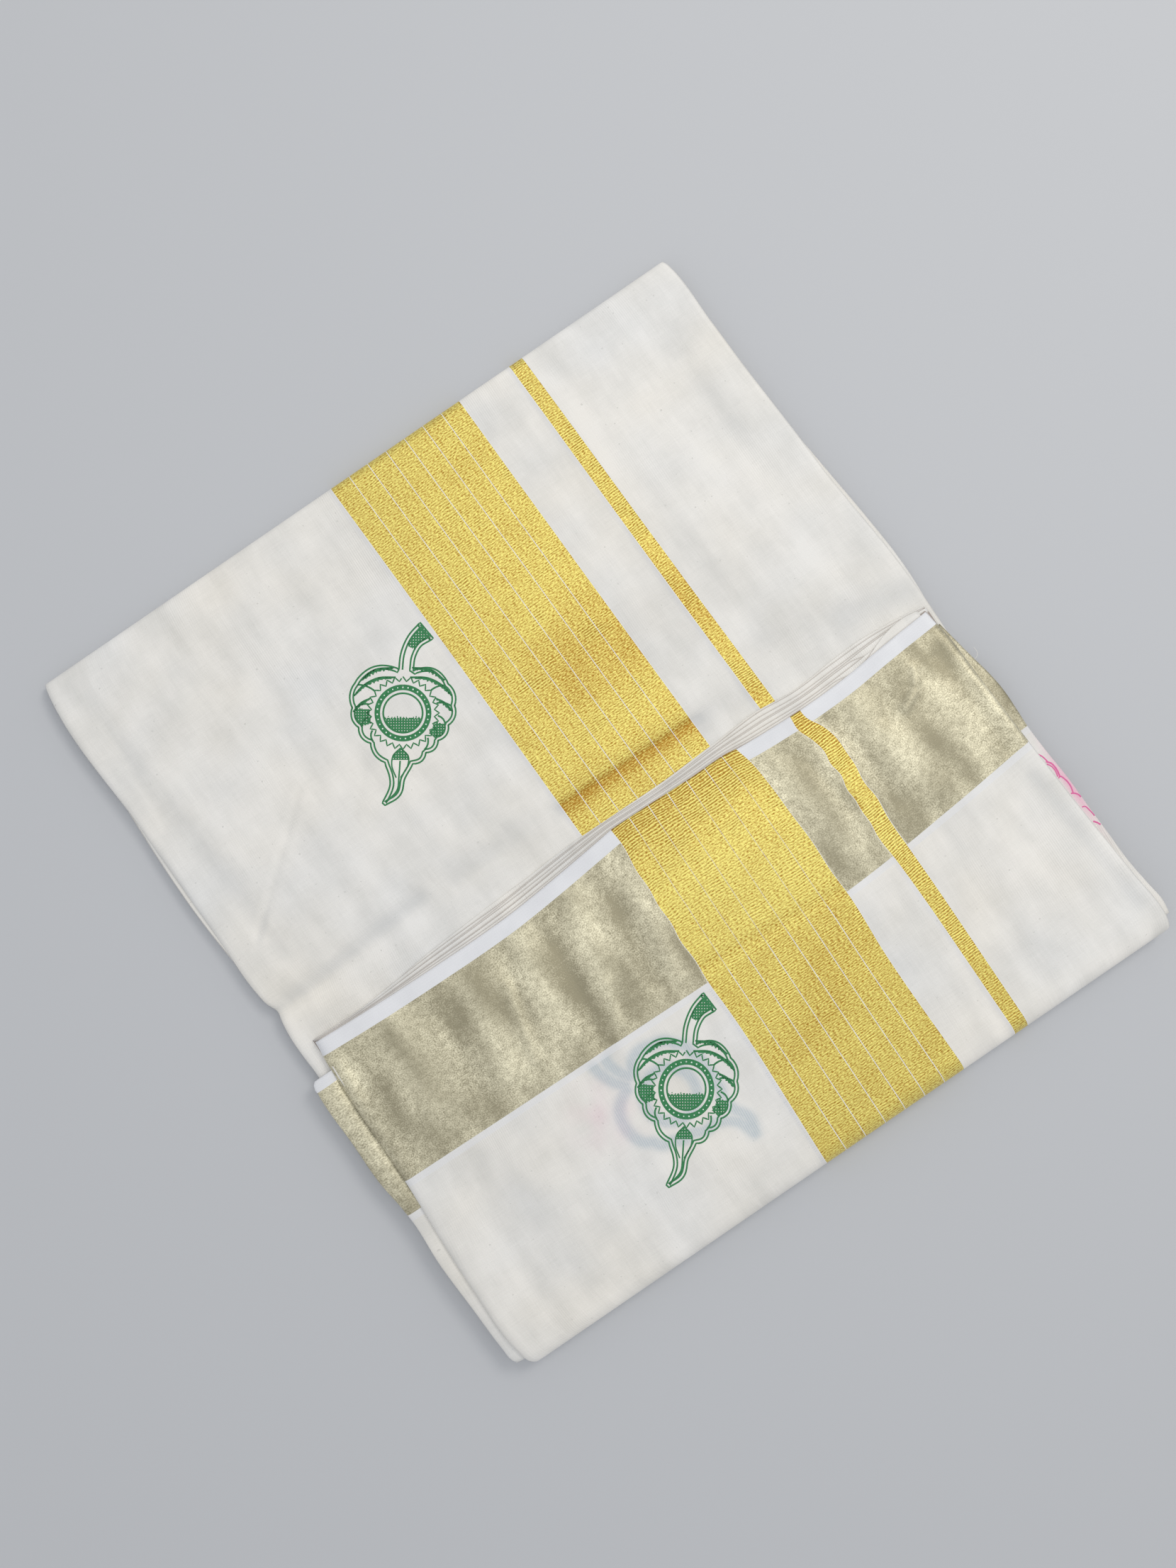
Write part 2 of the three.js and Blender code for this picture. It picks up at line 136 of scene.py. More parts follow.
# The flap's selvedge, the border's inner edge and the furthest staggered ply, as rows of (x, y)
FLAP_SELVEDGE = curve((-192, -15.2), (-160, -16.8), (-123, -17.8), (-72, -17.5), (-40, -14.8), (-18, -12.4),
                      (-8, -11.3), (4, -11.4), (40, -12.4), (64, -12.6), (74, -13.8), (99, -15.2),
                      (106, -15.4), (134, -14.6), (154, -12.7), (187, -10.4))
BORDER_EDGE = curve((-192, -97.4), (-120, -98.8), (-60, -99.8), (-10, -100.7), (72, -102.6), (100, -101),
                    (112, -100), (188, -92.2))
FURTHEST_PLY = curve((-192, -14), (-160, -14.4), (-120, -11), (-70, -8.4), (-23, -5.6), (22, -6.6),
                     (58, -5.2), (86, -3.4), (107, -5.6), (130, -4.4), (156, -4.2), (176, -6), (188, -8))

# Troughs (height below 0) and ridges, as rows of (x1, y1, x2, y2, width, height)
UPPER_FORMS = [
    (-199, 9, -195, 9, 2.8, -0.5),
    (-196, 1.5, -186, 3, 4, 0.7),
    (-188, 9.0, -106, 14.4, 4.6, -0.75),
    (-84, 14.8, -38, 14, 8, -0.5),
    (-188, 2.5, -60, 6.5, 4, 0.35),
    (-192, -3, -112, 3, 7, 0.5),
    (-24, 12.5, 62, 10.4, 1.5, -0.55),
    (-24, 9.6, 62, 7.6, 1.3, -0.3),
    (-24, 11, 62, 9, 6.5, -0.6),
    (-26, 22, 66, 19, 7, 0.45),
    (66, 10, 92, 4, 6, -0.3),
    (112, 22, 150, 10, 10, -0.45),
    (150, 10, 184, 4, 8, -0.6),
    (-190, 176, -193, 118, 2.6, 0.28),
    (-187, 172, -189, 112, 5, -0.18),
    (-127, 95, -188, 44, 1.5, 0.42),
    (-124.6, 92.4, -185.6, 41.4, 1.5, -0.4),
    (-122.6, 90.4, -183, 39.6, 1.5, 0.3),
    (-90, 84, -108, 67, 1.6, -0.3),
    (-60, 160, 10, 120, 24, 0.5),
    (90, 170, 150, 60, 26, 0.6),
    (-150, 150, -110, 60, 28, 0.5),
    (20, 70, 120, 60, 22, -0.4),
    (-186, 190, -178, 30, 5, -0.35),
    (-170, 190, -160, 20, 8, 0.3),
    (-143, 180, -134, 40, 6, -0.25),
    (-112, 60, -106, 26, 4, 0.25),
    (-88, 62, -84, 22, 4, -0.25),
    (-66, 50, -62, 20, 4, 0.25),
    (132, 190, 142, 40, 7, 0.3),
    (156, 150, 166, 30, 6, -0.3),
]
FLAP_FORMS = [
    (-183, -30, -186, -52, 2.2, 0.7),
    (-176, -34, -180, -86, 9, -0.9),
    (-150, -28, -156, -72, 9, 0.9),
    (-127, -28, -133, -84, 8, -1.0),
    (-108, -36, -116, -80, 7, 0.8),
    (-93, -46, -102, -84, 2.6, 0.9),
    (-86, -30, -94, -66, 5, -0.8),
    (-74, -24, -80, -62, 7, 0.9),
    (-58, -26, -70, -96, 6, -1.3),
    (-42, -26, -50, -70, 7, 1.0),
    (-52, -74, -58, -92, 3, 0.8),
    (-22, -22, -30, -84, 6, -1.0),
    (-14, -50, -20, -90, 5, 0.6),
    (78, -24, 86, -88, 7, 0.6),
    (92, -24, 97, -70, 4, -0.7),
    (116, -26, 120, -80, 6, -0.8),
    (130, -26, 138, -84, 9, 0.8),
    (163, -30, 159, -37, 2.0, 1.3),
    (156, -40, 148, -44, 2.0, 1.3),
    (150, -30, 138, -42, 5, -0.9),
    (166, -50, 160, -84, 8, 0.5),
    (176, -32, 178, -90, 4, -0.6),
    (182.5, -26, 186, -92, 1.6, 0.5),
    (181, -108, 188, -190, 4, -0.7),
    (-150, -112, -144, -190, 7, -0.35),
    (-110, -120, -100, -196, 8, 0.4),
    (130, -96, 138, -190, 6, -0.35),
    (150, -96, 158, -190, 6, 0.35),
    (-8, -93, 70, -100.5, 3.5, -0.25),
    (-120, -150, 10, -180, 18, 0.5),
    (-160, -120, -120, -170, 14, -0.3),
    (120, -130, 180, -170, 20, 0.4),
    (0, -170, 60, -120, 16, -0.2),
]


def forms_at(forms, x, y):
    """Height of the troughs and ridges at each point."""
    height = np.zeros(np.broadcast(x, y).shape)
    for x1, y1, x2, y2, width, rise in forms:
        run_x, run_y = x2 - x1, y2 - y1
        t = np.clip(((x - x1) * run_x + (y - y1) * run_y) / (run_x**2 + run_y**2), 0, 1)
        away = (x - x1 - t * run_x) ** 2 + (y - y1 - t * run_y) ** 2
        height = height + rise * np.exp(-away / width**2)
    return height


def ease(t):
    """Rises smoothly from 0 at 0 to 1 at 1."""
    t = np.clip(t, 0, 1)
    return t * t * (3 - 2 * t)


def ripple(x, y, size, seed):
    """A slow, even unrest of about the given size, between -1 and 1."""
    a = np.sin(x / size + 1.7 * seed) * np.cos(y / (1.3 * size) + 0.6 * seed)
    b = np.sin((x + 1.9 * y) / (1.7 * size) + 2.3 * seed)
    c = np.cos((1.4 * x - y) / (1.2 * size) + 0.9 * seed)
    return (a + 0.6 * b + 0.5 * c) / 2.1


def upper_height(x, y):
    """Height of the upper panel, level along its folded edges."""
    relief = forms_at(UPPER_FORMS, x, y) + 0.2 * ripple(x, y, 23, 1) + 0.06 * ripple(x, y, 7, 2)
    return UPPER_TOP + relief * ease((TOP_BEND - y) / 14) * ease((x + 206) / 12)


# ------------------------------------------------------------------ staggered plies at the crease
CREASE_PLIES = 7
SOLID_PLIES = 5  # the lowest ones, each of which stands for a solid
PLY_FRONT, PLY_BACK = 0.55, 0.6  # how much a ply adds to the stack at its edge and behind it
PLY_EASE = 12.0  # over this depth
PLY_BACK_Y = -34.0
# Left and right end of each ply, the lowest first
PLY_ENDS = [(-190.2, 186.0), (-189.6, 184.6), (-189.0, 182.6), (-188.4, 186.2), (-187.6, 161.0),
            (-187.0, 184.6), (-186.2, 181.0)]
TUCKED_PLY = 4  # this one's edge runs in under the flap before its right end
CORNER_FROM, CORNER_TO = 138.0, 176.0  # the top one comes out again here, in a folded corner


def ply_edge(k, x):
    """Where the edge of a staggered ply runs: y at each x."""
    if k == CREASE_PLIES:
        return FLAP_SELVEDGE(x)
    drift = 0.42 * np.sin(x / (31 + 7 * k) + 2.3 * k) * min(k, 1)
    share = ((k + drift) / CREASE_PLIES) ** 0.9
    if k == TUCKED_PLY:
        share = share + (1.2 - share) * ease((x - PLY_ENDS[k][1] + 24) / 22)
    if k == CREASE_PLIES - 1:
        share = share + (1.1 - share) * ease((x - CORNER_FROM + 12) / 12)
        share = share - 0.95 * ease((x - CORNER_FROM) / (CORNER_TO - CORNER_FROM))
    wave = 0.3 * np.sin(x / (19 + 5 * k) + 2.1 * k) + 0.12 * np.sin(x / (7 + k) + k)
    return FURTHEST_PLY(x) + (FLAP_SELVEDGE(x) - FURTHEST_PLY(x)) * share + wave * (1 - share)


def stack_height(x, y, plies):
    """Height of the lowest so many staggered plies on the upper panel."""
    height = upper_height(x, y)
    for k in range(plies):
        left, right = PLY_ENDS[k]
        there = ease((x - left + 3) / 3) * ease((right + 3 - x) / 3)
        behind = ply_edge(k, x) - y
        flutter = 0.12 + 0.12 * np.sin(x / (11 + 3 * k) + 1.9 * k)
        rise = PLY_FRONT + flutter + (PLY_BACK - PLY_FRONT) * ease(behind / PLY_EASE)
        height = height + there * ease(behind + 1) * rise
    return height


def droop(y):
    """How far the flap sinks towards its selvedge, where fewer plies lie under it."""
    return 2.9 * ease((y + 64) / 50)


def flap_height(x, y):
    """Height of the flap, which near its selvedge rests on the staggered plies."""
    relief = forms_at(FLAP_FORMS, x, y) + 0.15 * ripple(x, y, 19, 4) + 0.06 * ripple(x, y, 6, 5)
    relief = relief * ease((y - BOTTOM_BEND) / 16)
    rest = stack_height(x, y, CREASE_PLIES) + SHEET + 0.1
    near = ease((y + 28) / 14)
    level = (FLAP_TOP - droop(y)) * (1 - near) + rest * near + relief * (1 - 0.6 * near)
    clear = level - rest
    return rest + (clear + np.hypot(clear, 0.3)) / 2


# ------------------------------------------------------------------ meshes
def new_object(name, verts, faces, uv=None, marks=None):
    """A piece made from points in millimetres, with an optional place on the cloth for each point, and
    optional marks: an amount at each point, by name."""
    mesh = bpy.data.meshes.new(name)
    faces = [list(face) for face in faces]
    mesh.from_pydata((np.asarray(verts, float).reshape(-1, 3) * MM).tolist(), [], faces)
    if uv is not None:
        layer = mesh.uv_layers.new(name="cloth")
        corner = np.empty(len(mesh.loops), dtype=np.int32)
        mesh.loops.foreach_get("vertex_index", corner)
        layer.data.foreach_set("uv", (uv.reshape(-1, 2) * MM)[corner].ravel())
    for label, amount in (marks or {}).items():
        mesh.attributes.new(label, "FLOAT", "POINT").data.foreach_set("value", amount.ravel())
    mesh.polygons.foreach_set("use_smooth", [True] * len(mesh.polygons))
    obj = bpy.data.objects.new(name, mesh)
    bpy.context.scene.collection.objects.link(obj)
    return obj


def grid_shell(name, points, uv, thickness=SHEET, marks=None):
    """A closed thin shell: a grid of points on its outer face and the same grid behind it.
    The grid's rows run down the packet and its columns to the right, as seen from outside."""
    rows, columns = points.shape[:2]
    normal = np.cross(np.gradient(points, axis=0), np.gradient(points, axis=1))
    normal /= np.linalg.norm(normal, axis=2, keepdims=True)
    verts = np.concatenate([points.reshape(-1, 3), (points - normal * thickness).reshape(-1, 3)])
    index = np.arange(rows * columns).reshape(rows, columns)
    a, b = index[:-1, :-1].ravel(), index[1:, :-1].ravel()
    c, d = index[1:, 1:].ravel(), index[:-1, 1:].ravel()
    back = rows * columns
    loop = np.concatenate([index[:-1, 0], index[-1, :-1], index[:0:-1, -1], index[0, :0:-1]])
    after = np.roll(loop, -1)
    outer = np.stack([a, b, c, d], 1)
    inner = np.stack([d, c, b, a], 1) + back
    rim = np.stack([after, loop, loop + back, after + back], 1)
    both_uv = np.concatenate([uv.reshape(-1, 2)] * 2)
    both_marks = {label: np.concatenate([amount.ravel()] * 2) for label, amount in (marks or {}).items()}
    return new_object(name, verts, np.concatenate([outer, inner, rim]), both_uv, both_marks)


def tube(name, rings, uv):
    """A closed solid through rings of points, stop by stop."""
    stops, count = rings.shape[:2]
    index = np.arange(stops * count).reshape(stops, count)
    after = np.roll(index, -1, 1)
    sides = np.stack([index[:-1].ravel(), after[:-1].ravel(), after[1:].ravel(), index[1:].ravel()], 1)
    obj = new_object(name, rings, sides.tolist() + [index[0][::-1].tolist(), index[-1].tolist()], uv)
    work = bmesh.new()
    work.from_mesh(obj.data)
    bmesh.ops.recalc_face_normals(work, faces=work.faces)
    if work.calc_volume(signed=True) < 0:
        bmesh.ops.reverse_faces(work, faces=work.faces)
    work.to_mesh(obj.data)
    work.free()
    return obj


def spaced(knots, pitch):
    """Stops through the knots, about a pitch apart, that hit each knot."""
    stops = [np.array([knots[0]], float)]
    for a, b in zip(knots[:-1], knots[1:]):
        count = max(1, round(abs(b - a) / pitch))
        stops.append(np.linspace(a, b, count + 1)[1:])
    return np.concatenate(stops)


def along_columns(u, knots, edges):
    """x at each column u, where the edges at the knots are known row by row."""
    rows = edges[0].shape[0]
    edges = [np.broadcast_to(edge, (rows, len(u))) for edge in edges]
    x = np.empty((rows, len(u)))
    for a, b, xa, xb in zip(knots[:-1], knots[1:], edges[:-1], edges[1:]):
        inside = (u >= a - 1e-9) & (u <= b + 1e-9)
        t = (u[inside] - a) / (b - a)
        x[:, inside] = xa[:, inside] + (xb - xa)[:, inside] * t
    return x


def round_sides(x, left, right):
    """Rounds a face over along both sides, each given as (edge, reach, drop): where x goes, and how far
    the face sinks there."""
    sink = 0
    for (edge, reach, drop), sign in ((left, 1), (right, -1)):
        inside = np.clip(1 - (x - edge) * sign / reach, 0, 1)
        angle = inside * math.pi / 2
        x = np.where(inside > 0, edge + sign * reach * (1 - np.sin(angle)), x)
        sink = sink + drop * (1 - np.cos(angle))
    return x, sink


def blend(first, second, y, share):
    """Where a side runs at y, a share of the way from one outline to another."""
    return first(y) * (1 - share) + second(y) * share


def fold_path(edge, reach, thick, steps):
    """Round a fold from the top to the underside: y, z and how far it has turned, from 1 to -1."""
    angle = np.radians(np.linspace(90, -90, steps))
    inward = -math.copysign(1, edge)
    return edge + inward * reach * (1 - np.cos(angle)), thick / 2 * (1 + np.sin(angle)), np.sin(angle)


# ------------------------------------------------------------------ the outer ply
def grid(*parts):
    """The points of a grid from the parts of their places."""
    return np.stack(np.broadcast_arrays(*parts), 2)


def cloth_place(u, v):
    """The place on the cloth of each point of a grid."""
    return grid(u[None], v[:, None])


def band_knots(ends):
    """Where a stretch of cloth begins and ends along its length, and its bands between."""
    return [ends[0], 0, WIDE, NARROW_FROM, NARROW_TO, ends[1]]


def upper_panel():
    """The outer ply from just under the top fold, over it and down to the crease."""
    knots = band_knots(UPPER_U)
    u = spaced(knots, PITCH)
    flat_y = spaced([TOP_BEND, 30, 0, -20, UPPER_END_Y], PITCH)
    arc_y, arc_z, arc_turn = fold_path(HALF_HEIGHT, TOP_REACH, UPPER_TOP, 15)
    y = np.concatenate([[TOP_BEND - TUCK], arc_y[::-1], flat_y[1:]])[:, None]
    turn = np.concatenate([[-1.0], arc_turn[::-1], np.ones(len(flat_y) - 1)])[:, None]
    round_z = np.concatenate([[0.0], arc_z[::-1], np.full(len(flat_y) - 1, UPPER_TOP)])[:, None]
    down = (1 - turn) / 2
    left = blend(UPPER_LEFT, BASE_LEFT, y, down)
    right = blend(UPPER_RIGHT, BASE_RIGHT, y, down)
    x = along_columns(u, knots, [left, *(edge(y) for edge in UPPER_BANDS), right])
    x, sink = round_sides(x, (left, 3.2, 2.2), (right, 1.6, 0.8))
    z = np.where(turn >= 0.999, upper_height(x, y), round_z) - sink * turn
    v = np.concatenate([[0], np.cumsum(np.hypot(np.diff(y[:, 0]), np.diff(round_z[:, 0])))])
    v += TOP_V - v[len(arc_y) // 2 + 1]
    # the forms' height, which the material also paints as light on ridges and shade in troughs
    marks = {"relief": forms_at(UPPER_FORMS, x, y)}
    return grid_shell("upper_panel", grid(x, y, z), cloth_place(u, v), marks=marks)


def flap():
    """The outer ply from its selvedge down the flap, round the bottom fold and just under it."""
    knots = band_knots(FLAP_U)
    u = spaced(knots, PITCH)
    v_knots = [0, SELVEDGE, BORDER, FLAP_BEND_V]
    v_flat = spaced(v_knots, PITCH)
    # about where each column lies, to read the selvedge and the border's edge by
    rough_x = np.interp(u, knots, [-190, -9, 71.5, 101, 110, 188])
    selvedge = FLAP_SELVEDGE(rough_x)
    y_knots = [selvedge, selvedge - SELVEDGE, BORDER_EDGE(rough_x), np.full(rough_x.shape, BOTTOM_BEND)]
    flat_y = along_columns(v_flat, v_knots, [y[:, None] for y in y_knots]).T
    arc_y, arc_z, arc_turn = fold_path(-HALF_HEIGHT, BOTTOM_REACH, FLAP_TOP, 21)
    v_arc = FLAP_BEND_V + np.cumsum(np.hypot(np.diff(arc_y), np.diff(arc_z)))
    v = np.concatenate([v_flat, v_arc, [v_arc[-1] + TUCK]])
    ones = np.ones((1, len(u)))
    y = np.concatenate([flat_y, arc_y[1:, None] * ones, (BOTTOM_BEND + TUCK) * ones])
    turn = np.concatenate([np.ones(len(v_flat)), arc_turn[1:], [-1]])[:, None]
    round_z = np.concatenate([np.zeros(len(v_flat)), arc_z[1:], [0]])[:, None]
    down = (1 - turn) / 2
    left = blend(FLAP_LEFT, BASE_LEFT, y, down)
    right = blend(FLAP_RIGHT, BASE_RIGHT, y, down)
    x = along_columns(u, knots, [left, *(edge(y) for edge in FLAP_STRAIGHT), right])
    for knot, edge, straight_edge, reach in zip(knots[1:-1], FLAP_BANDS, FLAP_STRAIGHT, PUCKER_REACH):
        x = x + (edge(y) - straight_edge(y)) * np.exp(-np.abs(u - knot) / reach)
    x, sink = round_sides(x, (left, 6.0, 3.4), (right, 2.2, 1.2))
    z = np.where(turn >= 0.999, flap_height(x, y), round_z) - sink * turn
    points = grid(x, y, z)
    # the forms' height, which the material also paints as light on ridges and shade in troughs
    marks = {"relief": forms_at(FLAP_FORMS, x, y), **prints_below(points)}
    return grid_shell("flap", points, cloth_place(u, v), marks=marks)


def underside():
    """The outer ply under the packet, from fold to fold."""
    knots = band_knots(UNDER_U)
    u = spaced(knots, COARSE_PITCH)
    y = spaced(UNDER_Y, COARSE_PITCH)[:, None]
    t = (y - y[0]) / (y[-1] - y[0])
    bands = [flap_edge(-206.0) * (1 - t) + upper_edge(206.0) * t
             for flap_edge, upper_edge in zip(FLAP_BANDS, UPPER_BANDS)]
    left, right = BASE_LEFT(y), BASE_RIGHT(y)
    x = along_columns(u, knots, [left, *bands, right])
    x, sink = round_sides(x, (left, 1.8, 1.6), (right, 1.6, 1.4))
    v = UNDER_V + (y[:, 0] - y[0])
    return grid_shell("underside", grid(x, y, sink), cloth_place(u, v))


def crease_ply(k):
    """A staggered ply: its selvedge shows between the flap and the upper panel. Its place on the cloth
    is counted from the edge of the ply that lies on it."""
    x = spaced(PLY_ENDS[k], 2.2)
    depth = (np.linspace(0, 1, 16) ** 1.7)[:, None]
    edge = ply_edge(k, x)
    y = edge + (PLY_BACK_Y - 1 - edge) * depth
    z = stack_height(x, y - 0.02, k + 1)
    return grid_shell(f"crease_ply_{k + 1}_edge", grid(x, y, z), grid(x, ply_edge(k + 1, x) - y), 0.3)


# ------------------------------------------------------------------ folded sides
STACK_LOW, STACK_HIGH = 0.7, 6.2  # the hidden plies under the upper panel
FOLDS = 4  # nested folds, each seen twice in the stack
FOLD_PITCH = (STACK_HIGH - STACK_LOW) / (2 * FOLDS)
FOLD_DEPTH = 8.0
STACK_INSET = 6.0  # the hidden plies end this far inside the folded sides' outline
CREASE_BACK = -30.0
STACK_MIDDLE = (STACK_LOW + STACK_HIGH) / 2
FLAP_HUB = (FLAP_TOP - 1.0 + STACK_LOW) / 2


def nested_path(depth):
    """The way of one nested fold through the packet, seen from the side, at a depth in the stack: from
    the crease down the flap, round the bottom fold, under the packet, round the top fold and back
    the same way inside. Rows of (y, z, level), where level is 1 on the flap and 0 under it."""
    outer = FLAP_HUB - STACK_LOW - depth
    inner = FLAP_HUB - STACK_HIGH + depth
    top = STACK_MIDDLE - STACK_LOW - depth
    rows = []

    def straight(y1, y2, z, level):
        for y in np.linspace(y1, y2, max(2, round(abs(y2 - y1) / 4))):
            share = (z - UPPER_TOP) / (FLAP_TOP - UPPER_TOP)
            rows.append((y, z - level * share * droop(y), level))

    def bend(centre_y, centre_z, radius, start, end, levels):
        for s in np.linspace(0, 1, 14)[1:-1]:
            angle = math.radians(start + (end - start) * s)
            level = levels[0] + (levels[1] - levels[0]) * s
            rows.append((centre_y + radius * math.cos(angle), centre_z + radius * math.sin(angle), level))

    straight(CREASE_BACK, BOTTOM_BEND, FLAP_HUB + outer, 1)
    bend(BOTTOM_BEND, FLAP_HUB, outer, 90, 270, (1, 0))
    straight(BOTTOM_BEND, TOP_BEND, FLAP_HUB - outer, 0)
    bend(TOP_BEND, STACK_MIDDLE, top, -90, 90, (0, 0))
    straight(TOP_BEND, BOTTOM_BEND, STACK_HIGH - depth, 0)
    bend(BOTTOM_BEND, FLAP_HUB, inner, 270, 90, (0, 1))
    straight(BOTTOM_BEND, CREASE_BACK, FLAP_HUB + inner, 1)
    return np.array(rows)


def side_fold(side, k):
    """One nested fold along a side: a flat roll, round along its outer edge."""
    path = nested_path((k + 0.5) * FOLD_PITCH)
    y, z, level = path.T
    sign = -1 if side == "left" else 1
    base, over = (BASE_LEFT, FLAP_LEFT) if side == "left" else (BASE_RIGHT, FLAP_RIGHT)
    outline = blend(base, over, y, level)
    run = np.arange(len(y)) * 4.0
    uneven = 0.5 * np.sin(run / 57 + 2.4 * k) + 0.35 * np.sin(run / 21 + 1.3 * k + 2 * sign)
    tip = outline - sign * (1.5 + 0.5 * k + 0.8 * uneven + 0.6 * level)
    tangent = np.gradient(path[:, :2], axis=0)
    tangent /= np.linalg.norm(tangent, axis=1, keepdims=True)
    half = FOLD_PITCH * 0.47
    round_out = half * 1.6
    section = [(tip - sign * FOLD_DEPTH, -half)]
    for angle in np.radians([-90, -60, -30, 0, 30, 60, 90]):
        section.append((tip - sign * round_out * (1 - math.cos(angle)), half * math.sin(angle)))
    section.append((tip - sign * FOLD_DEPTH, half))
    rings = [np.stack([x, y - tangent[:, 1] * out, z + tangent[:, 0] * out], 1) for x, out in section]
    uv = cloth_place(np.arange(len(section)) * 1.5, run)
    return tube(f"{side}_fold_{k + 1}", np.stack(rings, 1), uv)


def inner_stack():
    """The hidden plies in one piece, inside the folded sides: the same way through the packet, between
    the stack's outer side and its inner side."""
    path = nested_path(1.2)
    half_way = int(np.argmax(path[:, 0])) + 1
    stops = np.linspace(0, 1, 160)
    sides = []
    for part in (path[:half_way], path[half_way:][::-1]):
        places = np.linspace(0, 1, len(part))
        sides.append(np.stack([np.interp(stops, places, column) for column in part.T], 1))
    rings = []
    for outer, inner in zip(*sides):
        level = outer[2]
        left = blend(BASE_LEFT, FLAP_LEFT, outer[0], level) + STACK_INSET
        right = blend(BASE_RIGHT, FLAP_RIGHT, outer[0], level) - STACK_INSET
        rings.append([(left, outer[0], outer[1]), (right, outer[0], outer[1]),
                      (right, inner[0], inner[1]), (left, inner[0], inner[1])])
    rings = np.array(rings, float)
    return tube("inner_stack", rings, rings[:, :, :2])


# ------------------------------------------------------------------ plies that stand out at the sides
LEFT_PLY = curve((-31.5, -200.6), (-33, -202.2), (-38, -202.8), (-69, -202.6), (-92, -202.4),
                 (-108, -200.4), (-117, -199.7), (-142, -200.6), (-170, -199.6), (-195, -198.7),
                 (-202, -198.0), (-205, -196.4))
RIGHT_PLY = curve((-20, 187.4), (-32, 189.6), (-44, 191.8), (-53, 193.4), (-66, 194.9), (-78, 194.9),
                  (-87, 194.6), (-100, 195.4), (-114, 196.4), (-134, 196.9), (-152, 197.4), (-169, 198.2),
                  (-186, 200.0), (-198, 201.4), (-204, 200.4))
LEFT_PLY_Y = (-31.5, -204.5)
RIGHT_PLY_Y = (-19.5, -204.0)
PEEKING_Y = (106.0, -14.0)
LEFT_PLY_HIDDEN, RIGHT_PLY_HIDDEN = 2.5, 17.0  # of their width, from the selvedge, that lies further in
LEFT_PLY_ROOT, RIGHT_PLY_ROOT = -187.6, 178.0  # where they run in under the flap


def left_ply():
    """The rolled ply along the flap's left side, with its own selvedge and border."""
    y = spaced([LEFT_PLY_Y[0], -33, -40, -112, -190, LEFT_PLY_Y[1]], 2.2)
    tip = LEFT_PLY(y)
    low, high = 8.7, 12.4  # its underside and its top
    middle, radius = (low + high) / 2, (high - low) / 2
    level = middle + 0.3 * np.sin(y / 31)
    rings = []
    for angle in np.radians([-90, -60, -30, 0, 12, 25, 38, 52, 70, 90]):
        reach = 7.5 if angle > 0 else 2.5  # slopes up slowly from its tip
        x = tip + reach * (1 - math.cos(angle))
        rings.append(np.stack([x, y, level + radius * math.sin(angle)], 1))
    for z in (radius - 1.1, 0.4 - radius):
        rings.append(np.stack([np.full(len(y), LEFT_PLY_ROOT), y, level + z], 1))
    around = np.array([0, 1, 2, 3, 4, 5, 6, 7, 8, 10, 14, 18.0])
    # its cloth lies well to the left of the gold bands
    uv = cloth_place(around - 220, LEFT_PLY_Y[0] + LEFT_PLY_HIDDEN - y)
    return tube("left_ply_roll", np.stack(rings, 1), uv)


def right_ply():
    """The ply that stands out along the flap's right side."""
    y = spaced([RIGHT_PLY_Y[0], -60, RIGHT_PLY_Y[1]], 2.0)[:, None]
    across = np.linspace(0, 1, 14)
    x = RIGHT_PLY_ROOT + (RIGHT_PLY(y) - RIGHT_PLY_ROOT) * across
    wave = 0.5 * np.sin(y / 13) * across + 0.25 * np.sin(y / 5.2) * across**3
    z = 11.0 + wave - 1.6 * ease((across - 0.55) / 0.45)
    stain = 0.8 * np.exp(-((y + 124) / 20) ** 2 - ((x - 195.5) / 2.5) ** 2)
    # its cloth lies to the right of the gold bands
    uv = grid(x + 40, RIGHT_PLY_Y[0] + RIGHT_PLY_HIDDEN - y)
    return grid_shell("right_ply_edge", grid(x, y, z), uv, 0.5, {"pink_below": stain})


def loose_thread():
    """A loose end of thread at the right ply's edge."""
    radius, foot = 0.13, np.array([191.0, -44.0])
    way = path_through([(0, 0), (2.2, 1.0), (3.2, 3.0), (2.9, 5.4)], 0.4)
    height = 10.6 + np.linspace(0, 1, len(way)) ** 0.5
    rings = []
    for angle in np.radians(range(0, 360, 60)):
        side = beside(way, radius * math.cos(angle)) + foot
        rings.append(np.stack([side[:, 0], side[:, 1], height + radius * math.sin(angle)], 1))
    run = np.arange(len(way)) * 0.4
    return tube("loose_thread", np.stack(rings, 1), cloth_place(np.arange(6) * radius + 300, run + 300))


def upper_right_ply():
    """The thin ply that peeks out under the upper panel's right side."""
    y = spaced(PEEKING_Y, 2.0)[:, None]
    across = np.linspace(0, 1, 9)
    share = (PEEKING_Y[0] - y) / (PEEKING_Y[0] - PEEKING_Y[1])
    shown = 3.0 * np.sin(np.pi * np.clip(share, 0, 1)) ** 0.6 - 0.4
    x = UPPER_RIGHT(y) - 9 + (9 + shown) * across
    z = 5.4 + 0.2 * np.sin(y / 9) * across - 1.2 * across**3
    return grid_shell("upper_right_ply_edge", grid(x, y, z), grid(x + 300, 400 - y), 0.35)


# ------------------------------------------------------------------ materials
THREAD_PITCH = 0.9  # about three times the threads' real spacing, so that they show
STEP_PITCH = 1.1  # of the lines where two plies' threads fall in and out of step
RIB_PITCH = 1.3  # of the ribs of gold thread
RIB_BEND = 4.0  # how far the ribs wander along the cloth's width
FRAY = 0.25  # how far each rib moves the wide band's side
NEAR_SELVEDGE = 30.0  # ribs are deeper over about this width
GAP = 1.1  # painted shadow darkens a tucked ply this near to the ply that lies on it
LINE = 0.36  # width of a white line between gold threads
STRIP = 3.5  # the white strip after the border
SHADOW = 3.0  # painted shade on the white cloth reaches this far before a band
